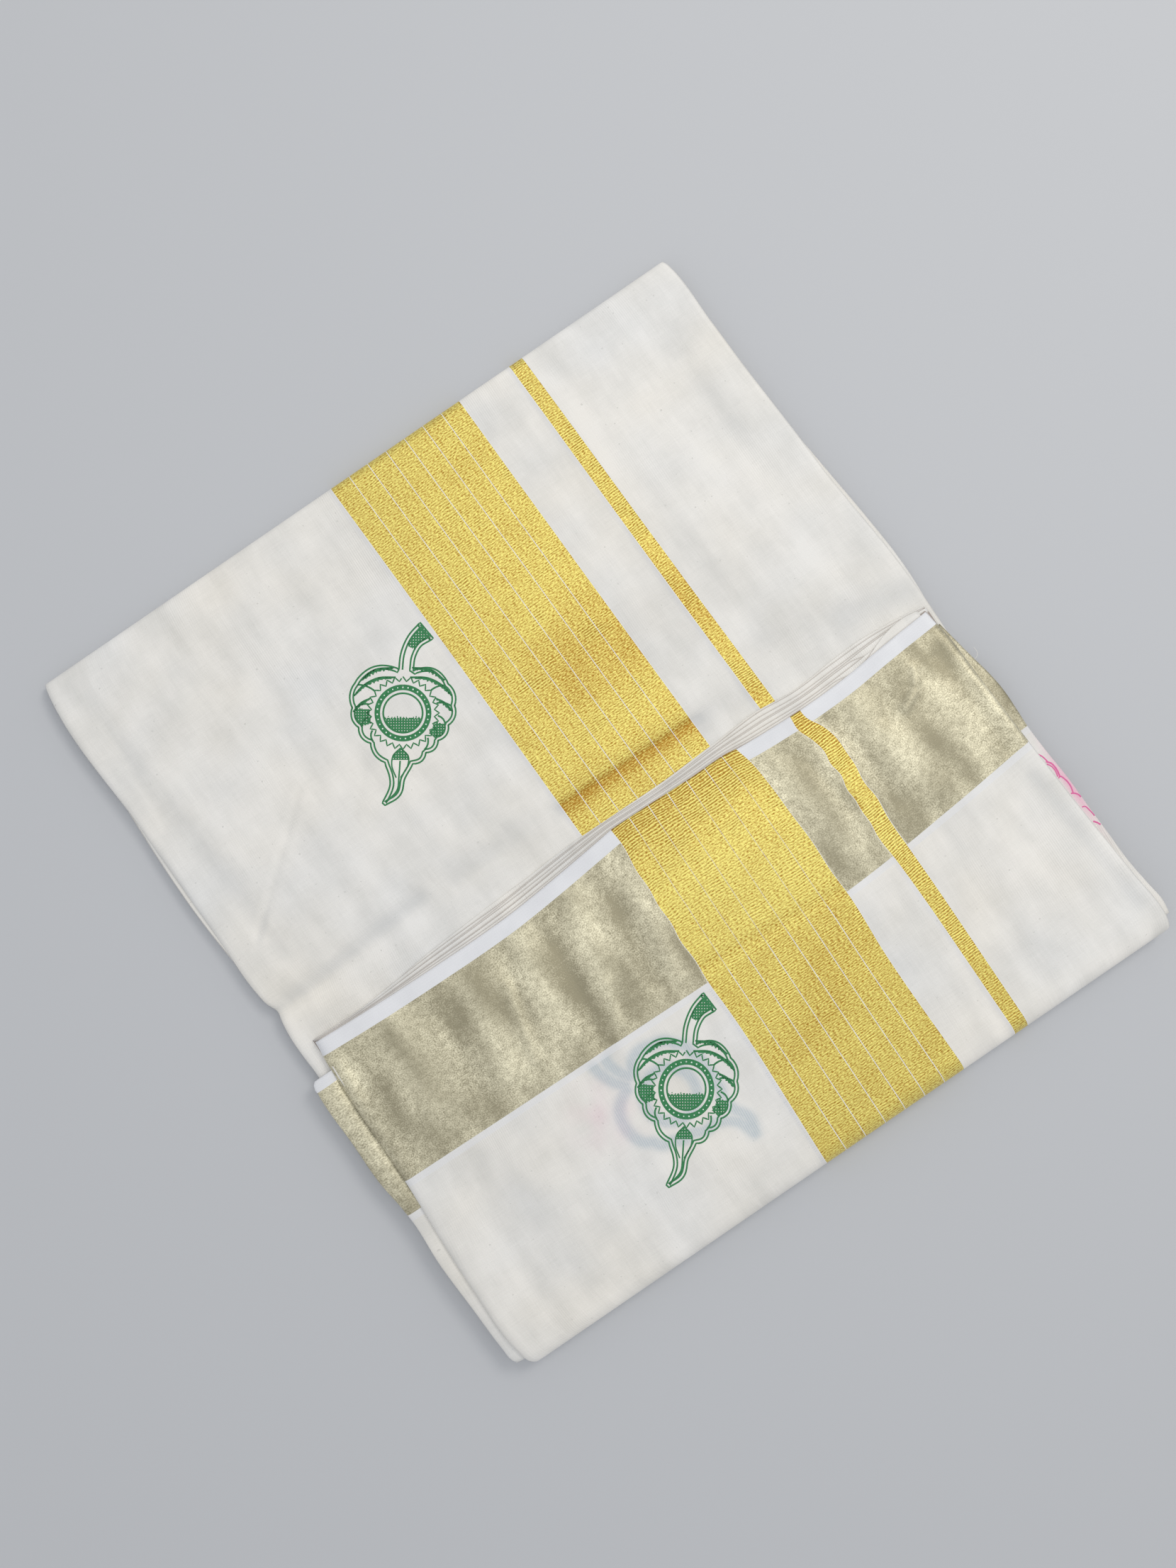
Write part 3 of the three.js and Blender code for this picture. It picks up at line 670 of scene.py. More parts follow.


def linear(hex_colour):
    """An sRGB hex colour as linear red, green, blue and alpha."""
    parts = [int(hex_colour[k:k + 2], 16) / 255 for k in (1, 3, 5)]
    return (*(p / 12.92 if p <= 0.04045 else ((p + 0.055) / 1.055) ** 2.4 for p in parts), 1.0)


class Amount:
    """An amount at each place on a material. Its tree's math nodes work out sums and products."""

    def __init__(self, tree, socket):
        self.tree = tree
        self.socket = socket

    def through(self, operation, *others):
        """What a math operation makes of this amount and others."""
        made = add(self.tree, "ShaderNodeMath", dict(enumerate((self, *others))), operation=operation)
        return Amount(self.tree, made.outputs[0])

    def __add__(self, other):
        return self.through("ADD", other)

    def __sub__(self, other):
        return self.through("SUBTRACT", other)

    def __rsub__(self, other):
        return self * -1.0 + other

    def __mul__(self, other):
        return self.through("MULTIPLY", other)

    def __lt__(self, other):
        return self.through("LESS_THAN", other)

    def __gt__(self, other):
        return self.through("GREATER_THAN", other)


def add(tree, kind, inputs=None, **settings):
    """Adds a node with its settings, and gives its inputs their values or links."""
    made = tree.nodes.new(kind)
    for key, value in settings.items():
        setattr(made, key, value)
    for key, value in (inputs or {}).items():
        if isinstance(value, Amount):
            value = value.socket
        if isinstance(value, bpy.types.Node):
            value = value.outputs[0]
        if isinstance(value, bpy.types.NodeSocket):
            tree.links.new(value, made.inputs[key])
        else:
            made.inputs[key].default_value = value
    return made


# The colour sockets of a Mix node: factor, first and second colour, and result
FACTOR, FIRST, SECOND, RESULT = 0, 6, 7, 2


def new_material(name):
    """A material and its node tree, still empty."""
    material = bpy.data.materials.new(name)
    material.use_nodes = True
    material.node_tree.nodes.clear()
    return material, material.node_tree


def ribbed(amount, pitch):
    """Ribs across an amount, from -1 to 1, so many millimetres apart."""
    return (amount * (2 * math.pi / (pitch * MM))).through("SINE")


def cloth_noise(tree, place, stretch, scale, detail, shift=0.0):
    """Uneven threads, grains or patches on the cloth, stretched along u and v."""
    moved = add(tree, "ShaderNodeMapping", {"Vector": place, "Location": (shift, shift, 0),
                                            "Scale": (*stretch, 1)})
    noise = add(tree, "ShaderNodeTexNoise", {"Vector": moved, "Scale": scale, "Detail": detail})
    return Amount(tree, noise.outputs["Fac"])


def woven_bands(cloth):
    """The gold bands, the pale gold border, the white lines, the white strips and a painted shade before
    each
    band: their colours, as rows of (where, colour), and the whole cloth's height and finish with them.
    Glints, sheen and some shade in the gold and pale gold are painted into their colours."""
    tree, place, u, v = cloth.tree, cloth.place, cloth.u, cloth.v
    grain = cloth_noise(tree, place, (0.45, 1), 1600, 1, 1.3)
    glint = cloth_noise(tree, place, (1, 1), 1350, 3, 0.7)
    glimmer = cloth_noise(tree, place, (1, 1), 300, 3, 2.9)
    patch = cloth_noise(tree, place, (1, 1), 55, 2, 5.2)
    bend = cloth_noise(tree, place, (0.6, 1), 70, 2, 9.4)
    sheen = cloth_noise(tree, place, (1, 0.4), 60, 1, 4.4)

    # ribs of gold thread, which make the wide band's sides uneven within the border
    rib = ribbed(bend * (RIB_BEND * MM) + v, RIB_PITCH)
    in_border = (v - (SELVEDGE + BORDER) / 2 * MM).through("ABSOLUTE") < (BORDER - SELVEDGE) / 2 * MM
    half = WIDE / 2 * MM
    from_wide = (u - half).through("ABSOLUTE")
    wide = (rib * in_border * (FRAY * MM) + from_wide) < half
    narrow_half = (NARROW_TO - NARROW_FROM) / 2 * MM
    from_narrow = (u - (NARROW_FROM + NARROW_TO) / 2 * MM).through("ABSOLUTE")
    narrow = from_narrow < narrow_half
    in_gold = wide.through("MAXIMUM", narrow)

    # white lines part the wide band and edge both bands; in the border the ribs half cover them
    line = LINE / 2 * MM
    parting = (u.through("PINGPONG", WIDE / SUB_BANDS / 2 * MM) < line) * (from_wide < half + line)
    edging = (from_narrow - narrow_half).through("ABSOLUTE") < line
    lines = parting.through("MAXIMUM", edging)
    gold = in_gold * (1.0 - lines * (1.0 - in_border * 0.5))
    border = in_border * (1.0 - in_gold.through("MAXIMUM", lines))
    strips = ((v < SELVEDGE * MM) + (v < (BORDER + STRIP) * MM)) * 0.5
    white = strips.through("MAXIMUM", lines)

    # ribs show in patches, and most on the narrow band, near the selvedge and in the border
    near_selvedge = (v * (-1 / (NEAR_SELVEDGE * MM)) + 1.3).through("MAXIMUM", 0.0)
    deep = (patch - 0.46) * 4.0 + narrow * 0.6 + in_border * 0.15 + near_selvedge
    deep = deep.through("MAXIMUM", 0.4).through("MINIMUM", 1.3)
    rib_deep = rib * gold * deep
    # painted shade: the gold's colour darkens in the ribs' troughs, where the ribs are deep, near the
    # selvedge and in the troughs of the relief; the ribs are also real bumps in the height
    gold_shade = (grain - 0.5) * 2.5 + rib_deep * 0.38 - deep * 0.06 - near_selvedge * 0.12 + 0.43
    gold_shade = gold_shade + cloth.dip * 0.5 + patch * 0.4 + in_border * 0.1

    # painted glints: pale gold threads brighten one by one, more in patches of painted sheen, with painted
    # light on the relief's ridges and painted shade in its troughs
    shine = sheen * 1.5 - 0.75
    tissue_shade = (glimmer * 0.5 + glint - 0.75) * (shine * 2.6 + 1.6) + shine
    tissue_shade = tissue_shade + cloth.relief * 0.16 + 0.33
    grain_metal = glint * border * 0.5 + grain * gold

    # painted shade: the white cloth darkens faintly in the last millimetres before each band
    before = [(u * (1 / (SHADOW * MM)) + (1.0 - edge / SHADOW)).through("MAXIMUM", 0.0) * (u < edge * MM)
              for edge in (0, NARROW_FROM)]
    shadow = before[0].through("MAXIMUM", before[1]) * 0.3

    layers = []
    for where, shade, low, high in (
        (shadow, cloth.shade, "#b4b8c2", "#c6cad4"),
        (white, ribbed(v, RIB_PITCH) * 0.04 + cloth.mottle, "#dadbde", "#eff0f2"),
        (border, tissue_shade, "#9c957b", "#f8f1d2"),
        (gold, gold_shade, "#ac7b17", "#f7ea82"),
    ):
        threads = add(tree, "ShaderNodeMix", {FACTOR: shade, FIRST: linear(low), SECOND: linear(high)},
                      data_type="RGBA")
        layers.append((where, threads.outputs[RESULT]))
    height = cloth.height + rib_deep * 0.9 + grain_metal * 1.5
    finish = {
        "Metallic": gold * 0.5 + border * 0.45,
        "Roughness": border * 0.05 + 0.85 - gold.through("MAXIMUM", border) * 0.41,
    }
    return layers, height, finish


def cotton_cloth(name, banded=False, tucked=False):
    """Plain-woven unbleached cotton: matt, and faintly uneven from its slubs, with painted light on the
    ridges and painted shade in the troughs of its relief, and soft streaks of painted crumple shading.
    Where it is banded, its gold and pale gold threads are flat metal strip wound on silk: they shine,
    in ribs and grains, from their metal finish and from painted glints, sheen and shade. Where it is
    tucked, painted shadow darkens it towards the gap under the ply that lies on it."""
    material, tree = new_material(name)
    place = add(tree, "ShaderNodeUVMap", uv_map="cloth").outputs[0]
    u, v = (Amount(tree, axis) for axis in add(tree, "ShaderNodeSeparateXYZ", {0: place}).outputs[:2])
    mottle = cloth_noise(tree, place, (1, 1), 55, 3, 7.7)
    cloud = cloth_noise(tree, place, (1, 1), 14, 2, 2.2)
    ply = cloth_noise(tree, place, (1, 0.5), 26, 1, 6.1)
    stripe = cloth_noise(tree, place, (1, 0.2), 75, 2, 5.5)
    husk = cloth_noise(tree, place, (1, 1), 520, 0, 8.8) > 0.83
    slub = cloth_noise(tree, place, (0.07, 1), 1300, 2) + cloth_noise(tree, place, (1, 0.07), 1300, 2, 3.1)
    relief, blue_below, pink_below = (
        Amount(tree, add(tree, "ShaderNodeAttribute", attribute_name=mark).outputs["Fac"])
        for mark in ("relief", "blue_below", "pink_below")
    )
    # the relief's troughs, painted darker in the colour below
    dip = relief.through("MINIMUM", 0.0)
    weave = ribbed(u, THREAD_PITCH) * ribbed(v, THREAD_PITCH)
    # fine lines in patches, where this ply's threads and those below fall in and out of step
    step = ribbed(v * 0.06 + u, STEP_PITCH)
    lines = (ply - 0.5).through("MAXIMUM", 0.0) * step
    # painted light and shade: the relief mark lightens ridges and darkens troughs, and the stripe noise's
    # soft streaks stand in for the light and shade of crumples
    shade = mottle + slub * 0.45 + weave * 0.05 + lines * 1.1 - husk * 1.5
    shade = shade + relief * 0.3 + stripe * 1.4 - 1.08
    height = slub + weave * 0.3
    finish = {"Roughness": 0.85, "Sheen Weight": 0.1, "Sheen Roughness": 0.5}

    cotton = add(tree, "ShaderNodeMix", {FACTOR: shade, FIRST: linear("#dfdeda"), SECOND: linear("#f7f5f1")},
                 data_type="RGBA")
    warmth = add(tree, "ShaderNodeMix", {FACTOR: cloud, FIRST: linear("#eef2f8"), SECOND: linear("#fffaf0")},
                 data_type="RGBA")
    cotton = add(tree, "ShaderNodeMix", {FACTOR: 1.0, FIRST: cotton.outputs[RESULT],
                                         SECOND: warmth.outputs[RESULT]},
                 data_type="RGBA", blend_type="MULTIPLY")
    layers = [
        # painted shade in the troughs of the relief
        (dip * -0.24, linear("#b5bac0")),
        ((step * 0.14 + 0.55) * blue_below, linear("#a6b8c3")),
        (pink_below, linear("#e9a9c4")),
    ]
    if tucked:
        # painted shadow along the edge of the ply that lies on it
        near = (v * (1 / (GAP * MM)) + 1.0).through("MAXIMUM", 0.0)
        layers.append((near.through("POWER", 1.8) * 0.55, linear("#a99e96")))
    if banded:
        cloth = SimpleNamespace(tree=tree, place=place, u=u, v=v, mottle=mottle, relief=relief, dip=dip,
                                shade=shade, height=height)
        bands, height, metal = woven_bands(cloth)
        layers += bands
        finish |= metal
    colour = cotton.outputs[RESULT]
    for amount, layer in layers:
        colour = add(tree, "ShaderNodeMix", {FACTOR: amount, FIRST: colour, SECOND: layer},
                     data_type="RGBA").outputs[RESULT]
    bump = add(tree, "ShaderNodeBump", {"Height": height, "Strength": 0.35, "Distance": 0.0002})
    shader = add(tree, "ShaderNodeBsdfPrincipled", {"Base Color": colour, "Normal": bump, **finish})
    add(tree, "ShaderNodeOutputMaterial", {"Surface": shader})
    return material


def printed_pigment(name, deep, pale):
    """Block-printed pigment on cotton: matt, let into the threads, so patchy at their scale."""
    material, tree = new_material(name)
    place = add(tree, "ShaderNodeTexCoord").outputs["Object"]
    patch = cloth_noise(tree, place, (1, 1), 900, 3)
    colour = add(tree, "ShaderNodeMix", {FACTOR: patch, FIRST: linear(deep), SECOND: linear(pale)},
                 data_type="RGBA")
    bump = add(tree, "ShaderNodeBump", {"Height": patch, "Strength": 0.2, "Distance": 0.0001})
    shader = add(tree, "ShaderNodeBsdfPrincipled", {"Base Color": colour.outputs[RESULT], "Normal": bump,
                                                    "Roughness": 0.8})
    add(tree, "ShaderNodeOutputMaterial", {"Surface": shader})
    return material


# ------------------------------------------------------------------ Geometry Nodes
def geometry_tree(name, **inputs):
    """A Geometry Nodes tree with named inputs, and the node that gives them."""
    tree = bpy.data.node_groups.new(name, "GeometryNodeTree")
    tree.interface.new_socket("Geometry", in_out="INPUT", socket_type="NodeSocketGeometry")
    for label, kind in inputs.items():
        tree.interface.new_socket(label, in_out="INPUT", socket_type=f"NodeSocket{kind}")
    tree.interface.new_socket("Geometry", in_out="OUTPUT", socket_type="NodeSocketGeometry")
    return tree, tree.nodes.new("NodeGroupInput").outputs


def finish_tree(tree, made, finish):
    """Ends a tree: real meshes in their material."""
    real = add(tree, "GeometryNodeRealizeInstances", {0: made})
    done = add(tree, "GeometryNodeSetMaterial", {"Geometry": real, "Material": finish})
    add(tree, "NodeGroupOutput", {"Geometry": done})
    return tree


def lay_tree():
    """Lays a flat print or thread on a cloth, a little above its threads."""
    tree, given = geometry_tree("lay on cloth", Cloth="Object", Lift="Float", Finish="Material")
    cloth = add(tree, "GeometryNodeObjectInfo", {"Object": given["Cloth"]}, transform_space="RELATIVE")
    flat = add(tree, "GeometryNodeInputPosition")
    above = add(tree, "ShaderNodeVectorMath", {0: flat, 1: (0, 0, 0.05)}, operation="ADD")
    below = add(tree, "GeometryNodeRaycast", {"Target Geometry": cloth.outputs["Geometry"],
                                              "Source Position": above, "Ray Direction": (0, 0, -1),
                                              "Ray Length": 0.2})
    # a print ends where the cloth ends
    off_cloth = add(tree, "FunctionNodeBooleanMath", {0: below.outputs["Is Hit"]}, operation="NOT")
    kept = add(tree, "GeometryNodeDeleteGeometry", {"Geometry": given["Geometry"], "Selection": off_cloth})
    lift = add(tree, "ShaderNodeCombineXYZ", {2: given["Lift"]})
    there = add(tree, "ShaderNodeVectorMath", {0: below.outputs["Hit Position"], 1: lift}, operation="ADD")
    laid = add(tree, "GeometryNodeSetPosition", {"Geometry": kept, "Position": there})
    return finish_tree(tree, laid, given["Finish"])


def marks_tree():
    """Repeats a small mark along a path, such as a bead of a ring or a tick of a hatched edge."""
    tree, given = geometry_tree("marks along a path", Mark="Object", Spacing="Float", Uneven="Float",
                                Seed="Int", Finish="Material")
    path = add(tree, "GeometryNodeMeshToCurve", {"Mesh": given["Geometry"]})
    points = add(tree, "GeometryNodeCurveToPoints", {"Curve": path, "Length": given["Spacing"]},
                 mode="LENGTH")
    along = add(tree, "FunctionNodeAlignRotationToVector", {"Vector": points.outputs["Tangent"]}, axis="X")
    mark = add(tree, "GeometryNodeObjectInfo", {"Object": given["Mark"]}, transform_space="ORIGINAL")
    least = add(tree, "ShaderNodeMath", {0: 1.0, 1: given["Uneven"]}, operation="SUBTRACT")
    size = add(tree, "FunctionNodeRandomValue", {2: least, 3: 1.0, "Seed": given["Seed"]},
               data_type="FLOAT")
    spread = add(tree, "GeometryNodeInstanceOnPoints", {"Points": points, "Rotation": along,
                                                        "Instance": mark.outputs["Geometry"],
                                                        "Scale": size.outputs[1]})
    return finish_tree(tree, spread, given["Finish"])


def apply_trees(obj, *steps):
    """Runs trees with their named inputs on an object, and leaves a plain mesh."""
    for tree, inputs in steps:
        modifier = obj.modifiers.new(tree.name, "NODES")
        modifier.node_group = tree
        for item in tree.interface.items_tree:
            if item.in_out == "INPUT" and item.name in inputs:
                modifier[item.identifier] = inputs[item.name]
    evaluated = obj.evaluated_get(bpy.context.evaluated_depsgraph_get())
    plain_mesh = bpy.data.meshes.new_from_object(evaluated)
    obj.modifiers.clear()
    obj.data = plain_mesh
    return obj


LAY = lay_tree()
MARKS = marks_tree()

# ------------------------------------------------------------------ flat prints
PRINT_TURN = -34.4  # how far the prints are turned on the packet, in degrees


def path_through(rows, pitch=0.8):
    """A smooth path through points."""
    rows = np.array(rows, float)
    run = np.concatenate([[0], np.cumsum(np.linalg.norm(np.diff(rows, axis=0), axis=1))])
    stops = np.linspace(0, run[-1], max(3, round(run[-1] / pitch)))
    return np.stack([curve(*zip(run, rows[:, c]))(stops) for c in (0, 1)], 1)


def from_centre(angle, radius):
    """A point at an angle from the stem's direction, clockwise, and a distance from the centre."""
    return radius * math.sin(math.radians(angle)), radius * math.cos(math.radians(angle))


def arc(radius, start=0, end=360, pitch=0.8):
    """Points along an arc round the centre, between two angles."""
    count = max(6, round(radius * math.radians(abs(end - start)) / pitch))
    return np.array([from_centre(a, radius) for a in np.linspace(start, end, count)])


def swell(a, b, height, steps=9):
    """A round lobe from a to b, that swells out from the centre."""
    a, b = np.array(a), np.array(b)
    t = np.linspace(0, 1, steps)[:, None]
    across = np.array([b[1] - a[1], a[0] - b[0]]) / np.linalg.norm(b - a)
    outward = across * math.copysign(1, across @ (a + b))
    return a + (b - a) * t + outward * height * np.sin(np.pi * t) ** 0.8


def leftward(path):
    """The direction to the left of a path at each of its points."""
    way = np.gradient(path, axis=0)
    way /= np.maximum(np.linalg.norm(way, axis=1, keepdims=True), 1e-9)
    return np.stack([-way[:, 1], way[:, 0]], 1)


def beside(path, distance):
    """A path beside another, to its left."""
    return path + leftward(path) * distance


class FlatPrint:
    """A print drawn flat: strokes and filled fields, in millimetres."""

    def __init__(self):
        self.verts = []
        self.faces = []

    def stroke(self, path, width):
        """Draws a line of even width."""
        path = np.asarray(path, float)
        start, count = len(self.verts), len(path)
        self.verts += [*beside(path, width / 2), *beside(path, -width / 2)]
        for k in range(count - 1):
            self.faces.append((start + k, start + count + k, start + count + k + 1, start + k + 1))

    def fill(self, outline, cell=0.45, open_every=3):
        """Fills an outline with small squares. Every so many are left open, so that it looks like mesh."""
        outline = np.asarray(outline, float)
        low, high = outline.min(0), outline.max(0)
        i, j = np.meshgrid(*(np.arange(int(n)) for n in np.ceil((high - low) / cell)), indexing="ij")
        centre = low + (np.stack([i, j], 2) + 0.5) * cell
        keep = inside_outline(centre, outline)
        if open_every:
            keep &= ~((i % open_every == 1) & (j % open_every == 1))
        for c in centre[keep]:
            start = len(self.verts)
            corners = np.array([(-1, -1), (1, -1), (1, 1), (-1, 1)])
            self.verts += [*(c + cell / 2 * corners)]
            self.faces.append((start, start + 1, start + 2, start + 3))

    def place(self, name, centre, turn, stretch=(1, 1)):
        """The print as a flat piece in its place on the packet."""
        return new_object(name, set_down(np.array(self.verts), centre, turn, stretch), self.faces)


def inside_outline(points, outline):
    """Which points lie inside a closed outline."""
    x, y = points[..., 0], points[..., 1]
    inside = np.zeros(x.shape, bool)
    for (x1, y1), (x2, y2) in zip(outline, np.roll(outline, -1, 0)):
        crosses = (y1 > y) != (y2 > y)
        inside ^= crosses & (x < (x2 - x1) * (y - y1) / (y2 - y1 + 1e-12) + x1)
    return inside


def set_down(points, centre, turn, stretch=(1, 1)):
    """Turns flat points and moves them to their place on the packet."""
    a = math.radians(turn)
    p, q = points[:, 0] * stretch[0], points[:, 1] * stretch[1]
    x = centre[0] + p * math.cos(a) - q * math.sin(a)
    y = centre[1] + p * math.sin(a) + q * math.cos(a)
    return np.stack([x, y, np.zeros(len(x))], 1)


# The leaf: a heart of lobes round a beaded ring, with a bent stem and a curled tail. Lobes end at
# (angle from the stem, distance from the ring's centre), from the shoulder down to the neck.
LOBES_RIGHT = [(57, 27.0), (82, 26.2), (105, 23.6), (128, 22.4), (150, 23.0), (169, 26.0)]
LOBES_LEFT = [(-58, 28.4), (-84, 25.6), (-108, 23.4), (-133, 22.2), (-160, 26.4)]
LEAF_LINE = 0.85
STEM = ([(1.6, 21.5), (2.6, 29.0), (6.2, 36.4), (12.0, 41.4)], [3.6, 3.7, 4.1, 5.2])
TAIL = ([(-2.2, -25.6), (-2.8, -32.0), (-3.6, -38.5), (-9.6, -45.8)], [7.0, 3.7, 3.1, 0.9])


def limb(rows, widths, side, pitch=0.8):
    """One edge of a stem or tail, from its centre line and half-widths."""
    middle = path_through(rows, pitch)
    t = np.linspace(0, 1, len(middle))
    half = curve(*zip(np.linspace(0, 1, len(widths)), widths))(t)
    return beside(middle, (half * side)[:, None])


def leaf_outline():
    """The leaf's closed outline, clockwise from where the stem's left edge leaves the heart."""
    stem_left, stem_right = limb(*STEM, 1), limb(*STEM, -1)
    tail_left, tail_right = limb(*TAIL, -1), limb(*TAIL, 1)
    right = [from_centre(*lobe) for lobe in LOBES_RIGHT]
    left = [from_centre(*lobe) for lobe in LOBES_LEFT]
    parts = [stem_left, stem_right[::-1], swell(stem_right[0], right[0], 4.6, 22)]
    parts += [swell(a, b, 1.9) for a, b in zip(right[:-1], right[1:])]
    parts += [tail_right[2:], tail_left[:1:-1]]
    parts += [swell(b, a, 1.9) for a, b in zip(left[-2::-1], left[:0:-1])]
    parts += [swell(left[0], stem_left[0], 5.0, 22)]
    return np.concatenate(parts)


def leaf_print():
    """The green leaf: double outline, lobes parted by lines, a toothed and a beaded ring."""
    flat = FlatPrint()
    outline = leaf_outline()
    closed = np.concatenate([outline, outline[:1]])
    flat.stroke(closed, LEAF_LINE)
    flat.stroke(beside(closed, -1.75), LEAF_LINE)
    # the rings
    teeth = 28
    zigzag = [from_centre(180 * k / teeth, 15.9 if k % 2 else 18.3) for k in range(2 * teeth + 1)]
    flat.stroke(np.concatenate([np.linspace(a, b, 4)[:-1] for a, b in zip(zigzag[:-1], zigzag[1:])]), 0.7)
    flat.stroke(arc(12.9), 2.8)
    flat.stroke(arc(9.9), 0.9)
    # the hatched end of the disc, the stem and the bud
    disc_end = arc(9.6, 104, 256)
    ragged = [(p, -2.3 + 0.8 * math.sin(4.1 * p)) for p in np.arange(disc_end[-1][0], disc_end[0][0], 0.5)]
    flat.fill(np.concatenate([disc_end, ragged]))
    flat.fill(np.concatenate([limb(*STEM, 0.62)[14:], limb(*STEM, -0.62)[:13:-1]]))
    bud_right = path_through([(-1.2, -17.6), (2.8, -22.0), (2.4, -26.5), (-1.2, -32.5)])
    bud_left = path_through([(-1.2, -17.6), (-5.0, -21.6), (-5.6, -26.2), (-3.4, -32.5)])
    flat.stroke(bud_right, 0.7)
    flat.stroke(bud_left, 0.7)
    flat.fill(np.concatenate([bud_right[:10], bud_left[9::-1]]))
    flat.stroke(path_through([(-1.4, -24), (-2.0, -32), (-2.8, -38.5), (-8.2, -44.6)]), 0.8)
    # lines between the lobes, and one hatched lobe on each side
    for ends in (LOBES_RIGHT[:5], LOBES_LEFT[:4]):
        for angle, radius in ends:
            flat.stroke(swell(from_centre(angle, radius - 1.6), from_centre(angle * 0.9, 17.6), 0.9, 8), 0.9)
    for ends, first in ((LOBES_RIGHT, 2), (LOBES_LEFT, 1)):
        (a1, r1), (a2, r2) = ends[first], ends[first + 1]
        root = [from_centre(a, 16.6) for a in np.linspace(a1, a2, 5)]
        tip = swell(from_centre(a2, r2 - 1.9), from_centre(a1, r1 - 1.9), 2.2)
        flat.fill(np.concatenate([root, tip]))
    # the two upper lobes of each side are shaded under their upper edge, ragged below
    for side in (1, -1):
        shoulder = path_through([(side * 4.6, 22.8), (side * 14.5, 21.6), (side * 21.0, 16.4)])
        middle = path_through([(side * 3.6, 18.0), (side * 12.5, 17.6), (side * 21.5, 12.4),
                               (side * 24.5, 8.6)])
        low = path_through([(side * 16.4, 7.4), (side * 21.0, 5.2), (side * 25.0, 0.6)])
        for path, depth in ((shoulder, 2.1), (middle, 1.9), (low, 1.6)):
            flat.stroke(path, 0.8)
            t = np.linspace(0, 1, len(path))[:, None]
            ragged = 0.75 + 0.25 * np.sin(np.arange(len(path)) * 2.4)[:, None]
            under = beside(path, -side * depth * np.sin(np.pi * t) ** 0.5 * ragged)
            flat.fill(np.concatenate([path, under[::-1]]), 0.4, 0)
    return flat


BLUE_CENTRE, BLUE_TURN = (-57.0, -136.0), 42.6  # the blue leaf on the ply under the flap
PINK_CENTRE = (-89.5, -127.0)


def prints_below(points):
    """How much of the prints on the ply below shows through at each point."""
    lines = np.concatenate([leaf_outline(), beside(leaf_outline(), -1.8), arc(14.4), arc(12.4)])
    spots = set_down(lines, BLUE_CENTRE, BLUE_TURN)[:, :2]
    flat_points = points[..., :2]
    near = np.hypot(*(flat_points - BLUE_CENTRE).transpose(2, 0, 1)) < 56
    away = np.linalg.norm(flat_points[near][:, None] - spots[None], axis=2).min(1)
    blue = np.zeros(near.shape)
    blue[near] = np.exp(-(away / 2.4) ** 2)
    blue *= ease((BORDER_EDGE(points[..., 0]) - points[..., 1]) / 3)
    far = np.hypot(*(flat_points - PINK_CENTRE).transpose(2, 0, 1))
    pink = 0.13 * np.exp(-((far / 15) ** 2)) * (1 + ripple(points[..., 0], points[..., 1], 3, 1))
    return {"blue_below": blue, "pink_below": pink}


def mark_path(name, path):
    """A path for marks to stand on."""
    mesh = bpy.data.meshes.new(name)
    mesh.from_pydata((path * MM).tolist(), [(k, k + 1) for k in range(len(path) - 1)], [])
    obj = bpy.data.objects.new(name, mesh)
    bpy.context.scene.collection.objects.link(obj)
    return obj


def dot(radius):
    """A small round mark."""
    return new_object("dot", [(*from_centre(a, radius), 0) for a in range(360, 0, -36)], [range(10)])


# ------------------------------------------------------------------ the packet
banded = cotton_cloth("plain-woven cotton with gold thread", banded=True)
plain = cotton_cloth("plain-woven cotton")
tucked = cotton_cloth("plain-woven cotton, painted shadow under the ply above", tucked=True)
green = printed_pigment("green pigment print", "#1f693b", "#43905d")
pink = printed_pigment("pink pigment print", "#d64f93", "#e884b2")
dots = printed_pigment("bare cotton in the print", "#d5e6d8", "#eaf2ea")
shaded = printed_pigment("cotton thread in shadow", "#c3c8d2", "#d6dae2")


def place(obj, slot, nodes=(), material=None):
    """Gives a piece its material, its body and the nodes that it stands for."""
    if material:
        obj.data.materials.append(material)
    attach(obj, "root")
    if nodes:
        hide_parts(*nodes)
    return obj


panel = place(upper_panel(), "cotton_cloth", ["upper_face"], banded)
front = place(flap(), "cotton_cloth", ["flap_face"], banded)
under = place(underside(), "cotton_cloth", ["underside_sheet"], banded)
stack = place(inner_stack(), "cotton_cloth", ["inner_plies"], plain)
plies = [place(crease_ply(k), "cotton_cloth", [f"crease_ply_{k + 1}"] if k < SOLID_PLIES else [], tucked)
         for k in range(CREASE_PLIES)]
roll = place(left_ply(), "tissue_border", ["left_ply"], banded)
right_edge = place(right_ply(), "tissue_border", ["right_ply"], banded)
loose = place(loose_thread(), "cotton_cloth", (), plain)
peeking = place(upper_right_ply(), "cotton_cloth", ["upper_right_ply"], plain)
folds = [place(side_fold(side, k), "cotton_cloth", (), plain)
         for side in ("left", "right") for k in range(FOLDS)]

LEAVES = [
    ("upper_leaf_print", panel, (-60, 96), (1.0, 1.0)),
    ("lower_leaf_print", front, (-48.8, -138.2), (0.97, 1.05)),
]
leaf_dot = dot(0.42)
on_cloth = {panel: [], front: [], right_edge: [loose]}
for name, cloth, centre, stretch in LEAVES:
    leaf = leaf_print().place(name, centre, PRINT_TURN, stretch)
    place(apply_trees(leaf, (LAY, {"Cloth": cloth, "Lift": 0.06 * MM, "Finish": green})), "cotton_cloth")
    ring = mark_path(f"{name}_beads", set_down(arc(12.9, 0, 360, 0.5), centre, PRINT_TURN, stretch))
    apply_trees(ring,
                (MARKS, {"Mark": leaf_dot, "Spacing": 2.6 * MM, "Uneven": 0.3, "Seed": 3, "Finish": dots}),
                (LAY, {"Cloth": cloth, "Lift": 0.09 * MM, "Finish": dots}))
    on_cloth[cloth] += [leaf, place(ring, "cotton_cloth")]
bpy.data.objects.remove(leaf_dot)
